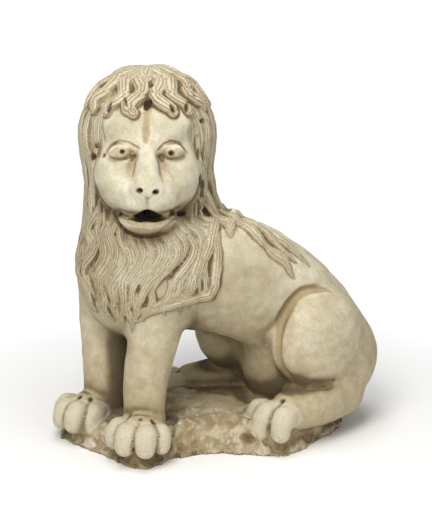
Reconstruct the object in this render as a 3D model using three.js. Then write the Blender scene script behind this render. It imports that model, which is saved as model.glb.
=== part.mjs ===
import * as THREE from "three";

// Sizes in millimetres. HEIGHT is the whole height. The rock is drawn in true size, and the
// figure in a measure of its own, in which it stands at STAND and its crown is CROWN_HAIR over the hood.
const HEIGHT = 620;
const STAND = 42;
const CROWN_HAIR = 10.4;
const FACETS = 9600;
const FACE_CARE = 5;
const GRAIN = 5;

// The animal faces -Y with its left side towards +X, and its head is turned to its left.
const HEAD_X = -50;
const HEAD_Y = -100;
const HEAD_TURN = 62;
const CROWN_Z = 514;
const HOOD_RADIUS = 103;
const CHEST_RADIUS = 106;
const CHEST_Z = 330;

const LOIN_RADIUS = 98;
const BARREL_RADIUS = 98;
const SHOULDER_RADIUS = 95;
const THIGH = [57, 84, 86];
const SHANK_RADIUS = 36;
const ANKLE_RADIUS = 34;
const TOE_RADIUS = 18;
const HOCK_RADIUS = 54;

const PLINTH_TOP = 42;
const PLINTH_SWELL = 11;
const PLINTH_SLOPE = 0.45;
const PLINTH_RIPPLE = 3;

const EYE_X = 38;
const EYE_Z = 507;
const BROW_Z = 544;
const NOSE_Z = 457;
const MOUTH_Z = 411;
const CHIN_Z = 396;

const LOCK_WIDTH = 13.5;
const LOCK_LENGTH = 90;
const TAIL_RADIUS = 14;
const GROOVE_RADIUS = 6.5;

const UNIT = (HEIGHT - PLINTH_TOP) / (CROWN_Z + HOOD_RADIUS + CROWN_HAIR - STAND);

const DEGREE = Math.PI / 180;

function span(a, b, c) {
  return Math.sqrt(a * a + b * b + c * c);
}

// Joining two forms: the smaller distance wins, and a soft join fills the corner between them.
function join(a, b, soft) {
  const h = Math.min(1, Math.max(0, 0.5 + (0.5 * (b - a)) / soft));
  return b + (a - b) * h - soft * h * (1 - h);
}

function carve(a, b, soft) {
  return -join(-a, b, soft);
}

function keepWithin(a, b, soft) {
  return -join(-a, -b, soft);
}

// Distance to an ellipsoid with its centre, half axes and a turn about the upright axis.
function ellipsoid(centre, axes, turn = 0) {
  const c = Math.cos(turn * DEGREE);
  const s = Math.sin(turn * DEGREE);
  return (x, y, z) => {
    const u = x - centre[0];
    const v = y - centre[1];
    const a = (u * c + v * s) / axes[0];
    const b = (v * c - u * s) / axes[1];
    const d = (z - centre[2]) / axes[2];
    const near = span(a, b, d);
    const steep = span(a / axes[0], b / axes[1], d / axes[2]);
    return (near * (near - 1)) / Math.max(steep, 1e-6);
  };
}

// Distance to a straight round bar from a to b; the fourth number of an end is its radius.
function bar(a, b) {
  const w = [b[0] - a[0], b[1] - a[1], b[2] - a[2]];
  const square = w[0] * w[0] + w[1] * w[1] + w[2] * w[2];
  return (x, y, z) => {
    const u = x - a[0];
    const v = y - a[1];
    const d = z - a[2];
    const along = (u * w[0] + v * w[1] + d * w[2]) / square;
    const t = Math.min(1, Math.max(0, along));
    const gap = span(u - t * w[0], v - t * w[1], d - t * w[2]);
    return gap - a[3] - t * (b[3] - a[3]);
  };
}

// A smooth curve through stations of any width, with the given steps between two of them.
function curve(stations, steps) {
  const last = stations.length - 1;
  const made = [];
  for (let i = 0; i < last; i++) {
    const a = stations[Math.max(0, i - 1)];
    const b = stations[i];
    const c = stations[i + 1];
    const d = stations[Math.min(last, i + 2)];
    for (let j = 0; j < steps; j++) {
      const t = j / steps;
      made.push(
        b.map((value, k) => {
          const first = c[k] - a[k];
          const second = 2 * a[k] - 5 * value + 4 * c[k] - d[k];
          const third = 3 * value - a[k] - 3 * c[k] + d[k];
          return value + 0.5 * t * (first + t * (second + t * third));
        }),
      );
    }
  }
  made.push(stations[last]);
  return made;
}

// A limb is a chain of bars along a smooth curve of [x, y, z, radius].
function limb(stations, steps = 3) {
  const points = curve(stations, steps);
  const bars = points.slice(1).map((point, i) => bar(points[i], point));
  return (x, y, z) => {
    let least = Infinity;
    for (const one of bars) least = Math.min(least, one(x, y, z));
    return least;
  };
}

function group(forms, soft) {
  return (x, y, z) => {
    let whole = forms[0](x, y, z);
    for (let i = 1; i < forms.length; i++) whole = join(whole, forms[i](x, y, z), soft);
    return whole;
  };
}

// The rock: an irregular outline, a swelling top and broken sides that lean in.
const ROCK_OUTLINE = [
  [-107, -247], [-16, -224], [62, -205], [92, -185], [85, -150], [72, -120], [100, -40],
  [148, 20], [154, 58], [136, 108], [94, 196], [35, 232], [-45, 240], [-110, 205],
  [-160, 120], [-180, 0], [-172, -100], [-150, -215],
];
const rockEdge = curve([...ROCK_OUTLINE, ROCK_OUTLINE[0]], 3).map((p) => p.map((value) => value * UNIT));

function insideEdge(x, y) {
  let nearest = Infinity;
  let side = 1;
  for (let i = 1; i < rockEdge.length; i++) {
    const [ax, ay] = rockEdge[i];
    const [bx, by] = rockEdge[i - 1];
    const ex = bx - ax;
    const ey = by - ay;
    const wx = x - ax;
    const wy = y - ay;
    const t = Math.min(1, Math.max(0, (wx * ex + wy * ey) / (ex * ex + ey * ey)));
    nearest = Math.min(nearest, (wx - ex * t) ** 2 + (wy - ey * t) ** 2);
    const above = y >= ay;
    const below = y < by;
    const left = ex * wy > ey * wx;
    if ((above && below && left) || (!above && !below && !left)) side = -side;
  }
  return side * Math.sqrt(nearest);
}

function ripple(x, y, z) {
  const broad = Math.sin(x * 0.045 + 1.3) * Math.cos(y * 0.052 - 0.4);
  const fine = Math.sin(x * 0.11 + z * 0.09) * Math.cos(y * 0.12 - z * 0.07 + 2);
  return PLINTH_RIPPLE * (broad + 0.6 * fine);
}

function rock(x, y, z) {
  const clear = z - 2 * PLINTH_TOP;
  if (clear > 20) return clear;
  const swell = Math.exp(-((x + 10) ** 2 + (y - 20) ** 2) / 12800);
  const wave = ripple(x, y, z);
  const top = z - PLINTH_TOP - PLINTH_SWELL * swell - 0.5 * wave;
  const edge = insideEdge(x, y) + PLINTH_SLOPE * Math.min(60, Math.max(0, z)) + wave;
  return keepWithin(edge, top, 16);
}

// The trunk sits: loin low at the back, barrel rising to the shoulders, and the seat under it.
const trunk = group(
  [
    limb([
      [44, 185, 124, LOIN_RADIUS],
      [24, 124, 215, 0.97 * BARREL_RADIUS],
      [0, 28, 276, 1.03 * BARREL_RADIUS],
      [-24, -55, 286, 1.02 * SHOULDER_RADIUS],
      [-36, -118, 268, 0.82 * SHOULDER_RADIUS],
    ]),
    ellipsoid([6, 148, 108], [92, 86, 104]),
  ],
  36,
);

const nearThigh = ellipsoid([103, 137, 175], THIGH, -4);
const farThigh = ellipsoid([-80, 88, 163], [0.95 * THIGH[0], THIGH[1], THIGH[2]], 10);

// A toe runs from its knuckle to its tip; a foot is a limb with its toes.
function toe(x, y, dx, dy, size = 1, lift = 0) {
  const radius = size * TOE_RADIUS;
  return limb(
    [
      [x - dx, y - dy, 46 + lift, 0.9 * radius],
      [x - 0.3 * dx, y - 0.3 * dy, 52 + 0.8 * lift, 1.08 * radius],
      [x, y, 36 + 0.2 * lift, 0.85 * radius],
    ],
    3,
  );
}

const nearHind = group(
  [
    limb([
      [84, 186, 72, HOCK_RADIUS],
      [112, 128, 66, 0.8 * HOCK_RADIUS],
      [119, 76, 60, 0.66 * HOCK_RADIUS],
    ]),
    toe(80, 26, -16, -28, 0.9, 12),
    toe(116, 20, -2, -38, 1.05, 14),
    toe(150, 36, 16, -34, 1.05, 12),
  ],
  5,
);
const farHind = group(
  [
    limb([
      [-62, 150, 66, 0.8 * HOCK_RADIUS],
      [-98, 60, 58, 0.64 * HOCK_RADIUS],
      [-122, 20, 50, 0.56 * HOCK_RADIUS],
    ]),
    toe(-124, -20, -4, -24, 0.85),
    toe(-146, -22, -10, -24, 0.9),
    toe(-165, -8, -14, -22, 0.85),
  ],
  5,
);

const nearFront = group(
  [
    limb([
      [4, -106, 310, 1.6 * SHANK_RADIUS],
      [14, -124, 205, 1.22 * SHANK_RADIUS],
      [20, -146, 115, SHANK_RADIUS],
      [22, -148, 58, ANKLE_RADIUS],
    ]),
    bar([22, -148, 52, ANKLE_RADIUS], [50, -168, 46, ANKLE_RADIUS]),
    toe(32, -210, 12, -38),
    toe(66, -208, 22, -34, 1.06),
    toe(92, -184, 30, -24, 1.06),
    toe(92, -154, 30, -8, 0.92),
  ],
  5,
);
const farFront = group(
  [
    limb([
      [-106, -146, 300, 1.45 * SHANK_RADIUS],
      [-104, -156, 200, 1.22 * SHANK_RADIUS],
      [-97, -160, 115, 1.08 * SHANK_RADIUS],
      [-97, -163, 58, 1.08 * ANKLE_RADIUS],
    ]),
    bar([-97, -163, 52, 1.05 * ANKLE_RADIUS], [-88, -198, 46, ANKLE_RADIUS]),
    toe(-122, -234, -8, -34, 0.95),
    toe(-94, -246, 2, -36, 1.06),
    toe(-66, -238, 12, -34, 1.06),
    toe(-48, -212, 22, -26, 0.92),
  ],
  5,
);

// The hood of hair, in the head's own frame: x across the face, y away from it.
const hood = group(
  [
    limb([
      [0, 28, CROWN_Z, HOOD_RADIUS],
      [0, 34, 0.5 * (CROWN_Z + CHEST_Z), HOOD_RADIUS],
      [-2, 35, CHEST_Z, CHEST_RADIUS],
    ]),
    ellipsoid([0, 28, CROWN_Z], [HOOD_RADIUS + 3, HOOD_RADIUS, HOOD_RADIUS]),
    ellipsoid([-9, 12, CHEST_Z - 25], [106, 86, 95]),
    ellipsoid([-32, -25, CHEST_Z - 65], [68, 52, 76]),
    ellipsoid([12, -50, CHEST_Z + 5], [78, 50, 75]),
  ],
  24,
);

// The face is drawn for one half and mirrored across its middle.
const skull = ellipsoid([0, -22, 485], [82, 78, 112]);
const brow = ellipsoid([35, -46, BROW_Z], [40, 37, 34]);
const cheek = ellipsoid([46, -60, NOSE_Z], [38, 40, 50]);
const muzzle = ellipsoid([0, -84, NOSE_Z - 16], [55, 56, 38]);
const bridge = bar([0, -84, EYE_Z + 13, 15], [0, -124, NOSE_Z + 2, 22]);
const nostril = ellipsoid([13, -126, NOSE_Z - 4], [14, 14, 13]);
const chin = ellipsoid([0, -78, CHIN_Z], [46, 48, 23]);
const socket = ellipsoid([EYE_X + 1, -110, EYE_Z], [25, 19, 14]);
const eyeball = ellipsoid([EYE_X, -83, EYE_Z - 1], [18, 14, 12]);
const mouth = ellipsoid([0, -132, MOUTH_Z], [32, 36, 7]);
const nostrilHole = ellipsoid([12, -140, NOSE_Z - 3], [4.5, 14, 5]);

function face(x, y, z) {
  const half = Math.abs(x);
  let form = join(skull(x, y, z), brow(half, y, z), 10);
  form = join(form, cheek(half, y, z), 18);
  form = join(form, muzzle(x, y, z), 16);
  form = join(form, bridge(x, y, z), 9);
  form = join(form, nostril(half, y, z), 6);
  form = join(form, chin(x, y, z), 6);
  form = carve(form, socket(half, y, z), 5);
  form = join(form, eyeball(half, y, z), 1.5);
  form = carve(form, nostrilHole(half, y, z), 1);
  return carve(form, mouth(x, y, z), 3);
}

const turnCos = Math.cos(HEAD_TURN * DEGREE);
const turnSin = Math.sin(HEAD_TURN * DEGREE);

// Everything but the hair, the face, the tail and the rock.
function body(x, y, z) {
  const u = x - HEAD_X;
  const v = y - HEAD_Y;
  let form = trunk(x, y, z);
  form = join(form, nearThigh(x, y, z), 9);
  form = join(form, farThigh(x, y, z), 24);
  form = join(form, nearHind(x, y, z), 7);
  form = join(form, farHind(x, y, z), 7);
  form = join(form, nearFront(x, y, z), 20);
  form = join(form, farFront(x, y, z), 20);
  return join(form, hood(u * turnCos + v * turnSin, v * turnCos - u * turnSin, z), 26);
}

// Hair is laid in locks: a lock follows a line on a form, flat against it and tapering to a tip.
function slope(form, p) {
  const e = 0.5;
  const g = [
    form(p[0] + e, p[1], p[2]) - form(p[0] - e, p[1], p[2]),
    form(p[0], p[1] + e, p[2]) - form(p[0], p[1] - e, p[2]),
    form(p[0], p[1], p[2] + e) - form(p[0], p[1], p[2] - e),
  ];
  const length = Math.max(1e-9, span(...g));
  return g.map((value) => value / length);
}

function settle(form, start) {
  let p = start.slice(0, 3);
  for (let i = 0; i < 12; i++) {
    const g = slope(form, p);
    const d = form(p[0], p[1], p[2]);
    p = p.map((value, k) => value - g[k] * d);
  }
  return p;
}

function lock(form, line, width, rise, widths) {
  const last = line.length - 1;
  const points = line.map((start, i) => {
    const p = settle(form, start);
    const n = slope(form, p);
    const place = (i / last) * (widths.length - 1);
    const k = Math.min(widths.length - 2, Math.floor(place));
    const w = width * (widths[k] + (place - k) * (widths[k + 1] - widths[k]));
    const sunk = 0.2 * rise * w;
    return { p: p.map((value, j) => value - n[j] * sunk), n, w };
  });
  const middle = [0, 1, 2].map((k) => points.reduce((sum, o) => sum + o.p[k], 0) / points.length);
  const reach = points.reduce(
    (most, o) => Math.max(most, span(...o.p.map((value, k) => value - middle[k])) + o.w),
    0,
  );
  return { points, middle, reach, rise };
}

function lockDistance(strand, x, y, z) {
  let least = Infinity;
  for (let i = 1; i < strand.points.length; i++) {
    const a = strand.points[i - 1];
    const b = strand.points[i];
    const wx = b.p[0] - a.p[0];
    const wy = b.p[1] - a.p[1];
    const wz = b.p[2] - a.p[2];
    const ux = x - a.p[0];
    const uy = y - a.p[1];
    const uz = z - a.p[2];
    const along = (ux * wx + uy * wy + uz * wz) / (wx * wx + wy * wy + wz * wz);
    const t = Math.min(1, Math.max(0, along));
    const vx = ux - t * wx;
    const vy = uy - t * wy;
    const vz = uz - t * wz;
    const nx = a.n[0] + t * (b.n[0] - a.n[0]);
    const ny = a.n[1] + t * (b.n[1] - a.n[1]);
    const nz = a.n[2] + t * (b.n[2] - a.n[2]);
    const up = vx * nx + vy * ny + vz * nz;
    const aside = Math.sqrt(Math.max(0, vx * vx + vy * vy + vz * vz - up * up));
    const wide = a.w + t * (b.w - a.w);
    const high = wide * strand.rise;
    const near = span(aside / wide, up / high, 0);
    const steep = span(aside / (wide * wide), up / (high * high), 0);
    least = Math.min(least, (near * (near - 1)) / Math.max(steep, 1e-6));
  }
  return least;
}

function hair(strands) {
  return (x, y, z) => {
    let least = 60;
    for (const strand of strands) {
      const m = strand.middle;
      const far = span(x - m[0], y - m[1], z - m[2]) - strand.reach;
      if (far < Math.min(12, least)) least = Math.min(least, lockDistance(strand, x, y, z));
      else if (far < least) least = Math.max(6, far);
    }
    return least;
  };
}

// A steady stream of different shares between 0 and 1, so that no two locks are quite alike.
function share(seed) {
  const value = Math.sin(seed * 12.9898) * 43758.5453;
  return value - Math.floor(value);
}

// The tufts over the brow lie on the face as well as on the body.
function bodyAndFace(x, y, z) {
  const u = x - HEAD_X;
  const v = y - HEAD_Y;
  return join(body(x, y, z), face(u * turnCos + v * turnSin, v * turnCos - u * turnSin, z), 10);
}

// From the head's own frame to the figure's.
function fromHead(across, away, z) {
  return [across * turnCos - away * turnSin + HEAD_X, across * turnSin + away * turnCos + HEAD_Y, z];
}

// A point beside the head at an angle from the face; polar counts down from the crown.
function beside(angle, z) {
  const a = angle * DEGREE;
  return fromHead(150 * Math.sin(a), 30 - 150 * Math.cos(a), z);
}

function overCrown(angle, polar) {
  const a = angle * DEGREE;
  const b = polar * DEGREE;
  const out = 150 * Math.sin(b);
  return fromHead(out * Math.sin(a), 28 - out * Math.cos(a), CROWN_Z + 150 * Math.cos(b));
}

const FLAME = [0.55, 1, 0.9, 0.15];
const manes = [];

// A row of hanging flame locks between two angles, each swinging aside as it falls.
function row(count, from, to, top, length, width, sway, spread, rise, seed) {
  for (let i = 0; i < count; i++) {
    const angle = from + ((to - from) * (i + 0.5)) / count;
    const long = length * (0.88 + 0.24 * share(seed * 17 + i));
    const start = top + 8 * (share(seed + i * 3) - 0.5);
    const swing = sway * ((i + seed) % 2 ? 1 : -1) * (0.7 + 0.6 * share(seed * 5 + i));
    const line = [];
    for (let j = 0; j <= 6; j++) {
      const u = j / 6;
      const turn = angle + (spread * angle * u) / 60 + swing * Math.sin(u * Math.PI * 1.7);
      line.push(beside(turn, start - long * u));
    }
    manes.push(lock(body, line, width * (0.9 + 0.2 * share(seed + i)), rise, FLAME));
  }
}

row(3, -48, 0, 278, 0.93 * LOCK_LENGTH, LOCK_WIDTH, 4, 0, 0.75, 3);
row(6, -78, 48, 322, LOCK_LENGTH, LOCK_WIDTH, 5, 0, 0.75, 4);
row(8, -92, 92, 368, LOCK_LENGTH, LOCK_WIDTH, 5, 4, 0.75, 5);
row(7, -66, 66, 408, 0.93 * LOCK_LENGTH, 0.93 * LOCK_WIDTH, 5, 6, 0.75, 6);
for (let k = 0; k < 4; k++) {
  row(5, 118, 242, 330 + 73 * k, 1.06 * LOCK_LENGTH, 1.4 * LOCK_WIDTH, 2.5, 0, 0.35, 11 + k);
}

// Strands hang straight at the sides of the face and loosen below it.
for (const side of [-1, 1]) {
  for (let i = 0; i < 4; i++) {
    const angle = 62 + 14 * i;
    const straight = [];
    const loose = [];
    for (let j = 0; j < 6; j++) straight.push(beside(side * (angle + 2 * Math.sin(j)), 592 - 34 * j));
    for (let j = 0; j < 5; j++) loose.push(beside(side * (angle + 4 * Math.sin(0.9 * j + i)), 440 - 22 * j));
    manes.push(lock(body, straight, 0.93 * LOCK_WIDTH, 0.42, [0.7, 1, 1, 0.6]));
    manes.push(lock(body, loose, LOCK_WIDTH, 0.45, [0.6, 1, 1, 0.3]));
  }
}

// Thick tufts roll forward over the brow in two tiers, and plainer ones fall behind.
function tier(count, from, to, top, foot, width, rise, curl) {
  for (let i = 0; i < count; i++) {
    const angle = from + ((to - from) * (i + 0.5)) / count;
    const inward = curl * (angle < 0 ? 1 : -1);
    const line = [];
    for (let j = 0; j <= 4; j++) {
      const u = j / 4;
      line.push(overCrown(angle + inward * Math.sin(3 * u), top + (foot - top) * u));
    }
    manes.push(lock(bodyAndFace, line, width, rise, [0.7, 1, 1.05, 0.5]));
  }
}
tier(8, -88, 88, 34, 61, 1.1 * LOCK_WIDTH, 0.75, -8);
tier(6, -84, 84, 10, 40, 1.2 * LOCK_WIDTH, 0.65, 8);
tier(7, 100, 260, 12, 72, 1.4 * LOCK_WIDTH, 0.35, 0);
const mane = hair(manes);

// The tail comes up the far flank and its tuft falls across the back in a few locks.
const TAIL_LINE = [
  [0, 290, 60],
  [-50, 280, 90],
  [-90, 230, 170],
  [-90, 170, 260],
  [-75, 120, 320],
  [-45, 70, 365],
  [6, 30, 390],
];
const tail = limb(
  TAIL_LINE.map((start, i) => {
    const p = settle(body, start);
    const n = slope(body, p);
    const radius = TAIL_RADIUS * (1.25 - 0.1 * i);
    return [...p.map((value, k) => value + 0.2 * radius * n[k]), radius];
  }),
);
const tuftLocks = [];
for (let i = 0; i < 5; i++) {
  const line = [];
  for (let j = 0; j <= 5; j++) {
    const u = j / 5;
    const swing = 6 * Math.sin(4 * u + i);
    line.push([
      31 + 8 * i + (18 + 6 * i) * u + 0.3 * swing,
      32 + 14 * i + (38 - 3 * i) * u - 0.5 * swing,
      373 - 8 * i - (20 + 9 * i) * u + 0.3 * swing,
    ]);
  }
  tuftLocks.push(lock(body, line, 0.8 * LOCK_WIDTH, 0.9, [0.8, 1, 0.9, 0.2]));
}
const tuft = hair(tuftLocks);

// A groove parts the near thigh from the flank, over its top, down its front and under it.
const grooveLine = [];
for (let angle = 60; angle <= 300; angle += 24) {
  const side = 120 + 66 * Math.cos(angle * DEGREE);
  const p = settle(body, [110, side, 180 + 86 * Math.sin(angle * DEGREE)]);
  grooveLine.push([...p, GROOVE_RADIUS * (0.75 - 0.25 * Math.cos(angle * DEGREE))]);
}
const thighGroove = limb(grooveLine, 2);

function figure(x, y, z) {
  const u = x - HEAD_X;
  const v = y - HEAD_Y;
  const across = u * turnCos + v * turnSin;
  const away = v * turnCos - u * turnSin;
  let form = carve(body(x, y, z), thighGroove(x, y, z), 4);
  form = join(form, tail(x, y, z), 5);
  form = join(form, tuft(x, y, z), 2.5);
  form = join(form, mane(x, y, z), 2.5);
  return join(form, face(across, away, z), 4);
}

// The figure stands on the rock.
function lion(x, y, z) {
  const raised = (z - PLINTH_TOP) / UNIT + STAND;
  const form = join(figure(x / UNIT, y / UNIT, raised) * UNIT, rock(x, y, z), 10);
  return Math.max(form, -z);
}

// The surface is found on a grid whose cells are split into six tetrahedra, so it is always closed.
const LOW = [-0.38 * HEIGHT, -0.48 * HEIGHT, -0.5 * GRAIN];
const HIGH = [0.37 * HEIGHT, 0.5 * HEIGHT, 1.08 * HEIGHT];
const BLOCK = 4;
const MARGIN = 10;
const CORNERS = [0, 1, 2, 3, 4, 5, 6, 7].map((bits) => [bits & 1, (bits >> 1) & 1, bits >> 2]);
const TETRAHEDRA = [[0, 1, 3, 7], [0, 3, 2, 7], [0, 2, 6, 7], [0, 6, 4, 7], [0, 4, 5, 7], [0, 5, 1, 7]];

function surface(form) {
  const blocks = LOW.map((low, i) => Math.ceil((HIGH[i] - low) / (BLOCK * GRAIN)));
  const [nx, ny, nz] = blocks.map((count) => count * BLOCK + 1);
  const field = new Float64Array(nx * ny * nz).fill(NaN);
  const at = (i, j, k) => i + nx * (j + ny * k);
  const reach = 0.5 * Math.sqrt(3) * BLOCK * GRAIN + MARGIN;
  const cells = [];
  for (let k = 0; k < blocks[2]; k++) {
    for (let j = 0; j < blocks[1]; j++) {
      for (let i = 0; i < blocks[0]; i++) {
        const centre = [i, j, k].map((n, axis) => LOW[axis] + (n + 0.5) * BLOCK * GRAIN);
        if (Math.abs(form(...centre)) < reach) cells.push([i, j, k]);
      }
    }
  }
  for (const [bi, bj, bk] of cells) {
    for (let k = bk * BLOCK; k <= (bk + 1) * BLOCK; k++) {
      for (let j = bj * BLOCK; j <= (bj + 1) * BLOCK; j++) {
        for (let i = bi * BLOCK; i <= (bi + 1) * BLOCK; i++) {
          const n = at(i, j, k);
          if (Number.isNaN(field[n])) {
            field[n] = form(LOW[0] + i * GRAIN, LOW[1] + j * GRAIN, LOW[2] + k * GRAIN);
          }
        }
      }
    }
  }
  const points = [];
  const triangles = [];
  const known = new Map();
  const place = (n) => {
    const i = n % nx;
    const j = ((n - i) / nx) % ny;
    const k = (n - i - nx * j) / (nx * ny);
    return [LOW[0] + i * GRAIN, LOW[1] + j * GRAIN, LOW[2] + k * GRAIN];
  };
  const crossing = (inner, outer) => {
    const low = Math.min(inner, outer);
    const key = low * 8 + edgeKind.get(Math.abs(inner - outer));
    let index = known.get(key);
    if (index === undefined) {
      const a = place(inner);
      const b = place(outer);
      const share = field[inner] / (field[inner] - field[outer]);
      const t = Math.min(0.97, Math.max(0.03, share));
      index = points.length / 3;
      points.push(a[0] + t * (b[0] - a[0]), a[1] + t * (b[1] - a[1]), a[2] + t * (b[2] - a[2]));
      known.set(key, index);
    }
    return index;
  };
  const edgeKind = new Map(
    [at(1, 0, 0), at(0, 1, 0), at(0, 0, 1), at(1, 1, 0), at(1, 0, 1), at(0, 1, 1), at(1, 1, 1)].map(
      (step, kind) => [step, kind],
    ),
  );
  const add = (a, b, c, from, to) => {
    const p = (n, axis) => points[3 * n + axis];
    const e = [0, 1, 2].map((axis) => p(b, axis) - p(a, axis));
    const f = [0, 1, 2].map((axis) => p(c, axis) - p(a, axis));
    const n = [e[1] * f[2] - e[2] * f[1], e[2] * f[0] - e[0] * f[2], e[0] * f[1] - e[1] * f[0]];
    const out = to.map((value, axis) => value - from[axis]);
    if (n[0] * out[0] + n[1] * out[1] + n[2] * out[2] < 0) triangles.push(a, c, b);
    else triangles.push(a, b, c);
  };
  for (const [bi, bj, bk] of cells) {
    for (let k = bk * BLOCK; k < (bk + 1) * BLOCK; k++) {
      for (let j = bj * BLOCK; j < (bj + 1) * BLOCK; j++) {
        for (let i = bi * BLOCK; i < (bi + 1) * BLOCK; i++) {
          const nodes = CORNERS.map((c) => at(i + c[0], j + c[1], k + c[2]));
          const within = nodes.filter((n) => field[n] < 0).length;
          if (within === 0 || within === 8) continue;
          for (const tetrahedron of TETRAHEDRA) {
            const inner = [];
            const outer = [];
            for (const corner of tetrahedron) {
              (field[nodes[corner]] < 0 ? inner : outer).push(nodes[corner]);
            }
            if (!inner.length || !outer.length) continue;
            const from = place(inner[0]);
            const to = place(outer[0]);
            if (inner.length === 2) {
              const [a, b, c, d] = [
                crossing(inner[0], outer[0]),
                crossing(inner[0], outer[1]),
                crossing(inner[1], outer[1]),
                crossing(inner[1], outer[0]),
              ];
              add(a, b, c, from, to);
              add(a, c, d, from, to);
            } else if (inner.length === 1) {
              const [a, b, c] = outer.map((n) => crossing(inner[0], n));
              add(a, b, c, from, to);
            } else {
              const [a, b, c] = inner.map((n) => crossing(n, outer[0]));
              add(a, b, c, from, to);
            }
          }
        }
      }
    }
  }
  return { points: Float64Array.from(points), triangles: Int32Array.from(triangles) };
}

// Only the largest closed surface is kept.
function largest({ points, triangles }) {
  const owner = Int32Array.from({ length: points.length / 3 }, (_, i) => i);
  const find = (n) => {
    while (owner[n] !== n) {
      owner[n] = owner[owner[n]];
      n = owner[n];
    }
    return n;
  };
  for (let i = 0; i < triangles.length; i += 3) {
    owner[find(triangles[i + 1])] = find(triangles[i]);
    owner[find(triangles[i + 2])] = find(triangles[i]);
  }
  const size = new Map();
  for (let i = 0; i < triangles.length; i += 3) {
    const n = find(triangles[i]);
    size.set(n, (size.get(n) || 0) + 1);
  }
  const best = [...size].reduce((a, b) => (b[1] > a[1] ? b : a))[0];
  return { points, triangles: triangles.filter((_, i) => find(triangles[i - (i % 3)]) === best) };
}

// The face keeps finer facets than the rest.
function care(x, y, z) {
  const u = x / UNIT - HEAD_X;
  const v = y / UNIT - HEAD_Y;
  const away = v * turnCos - u * turnSin;
  return away < -55 && z / UNIT > CHIN_Z - 20 ? FACE_CARE : 1;
}

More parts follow.
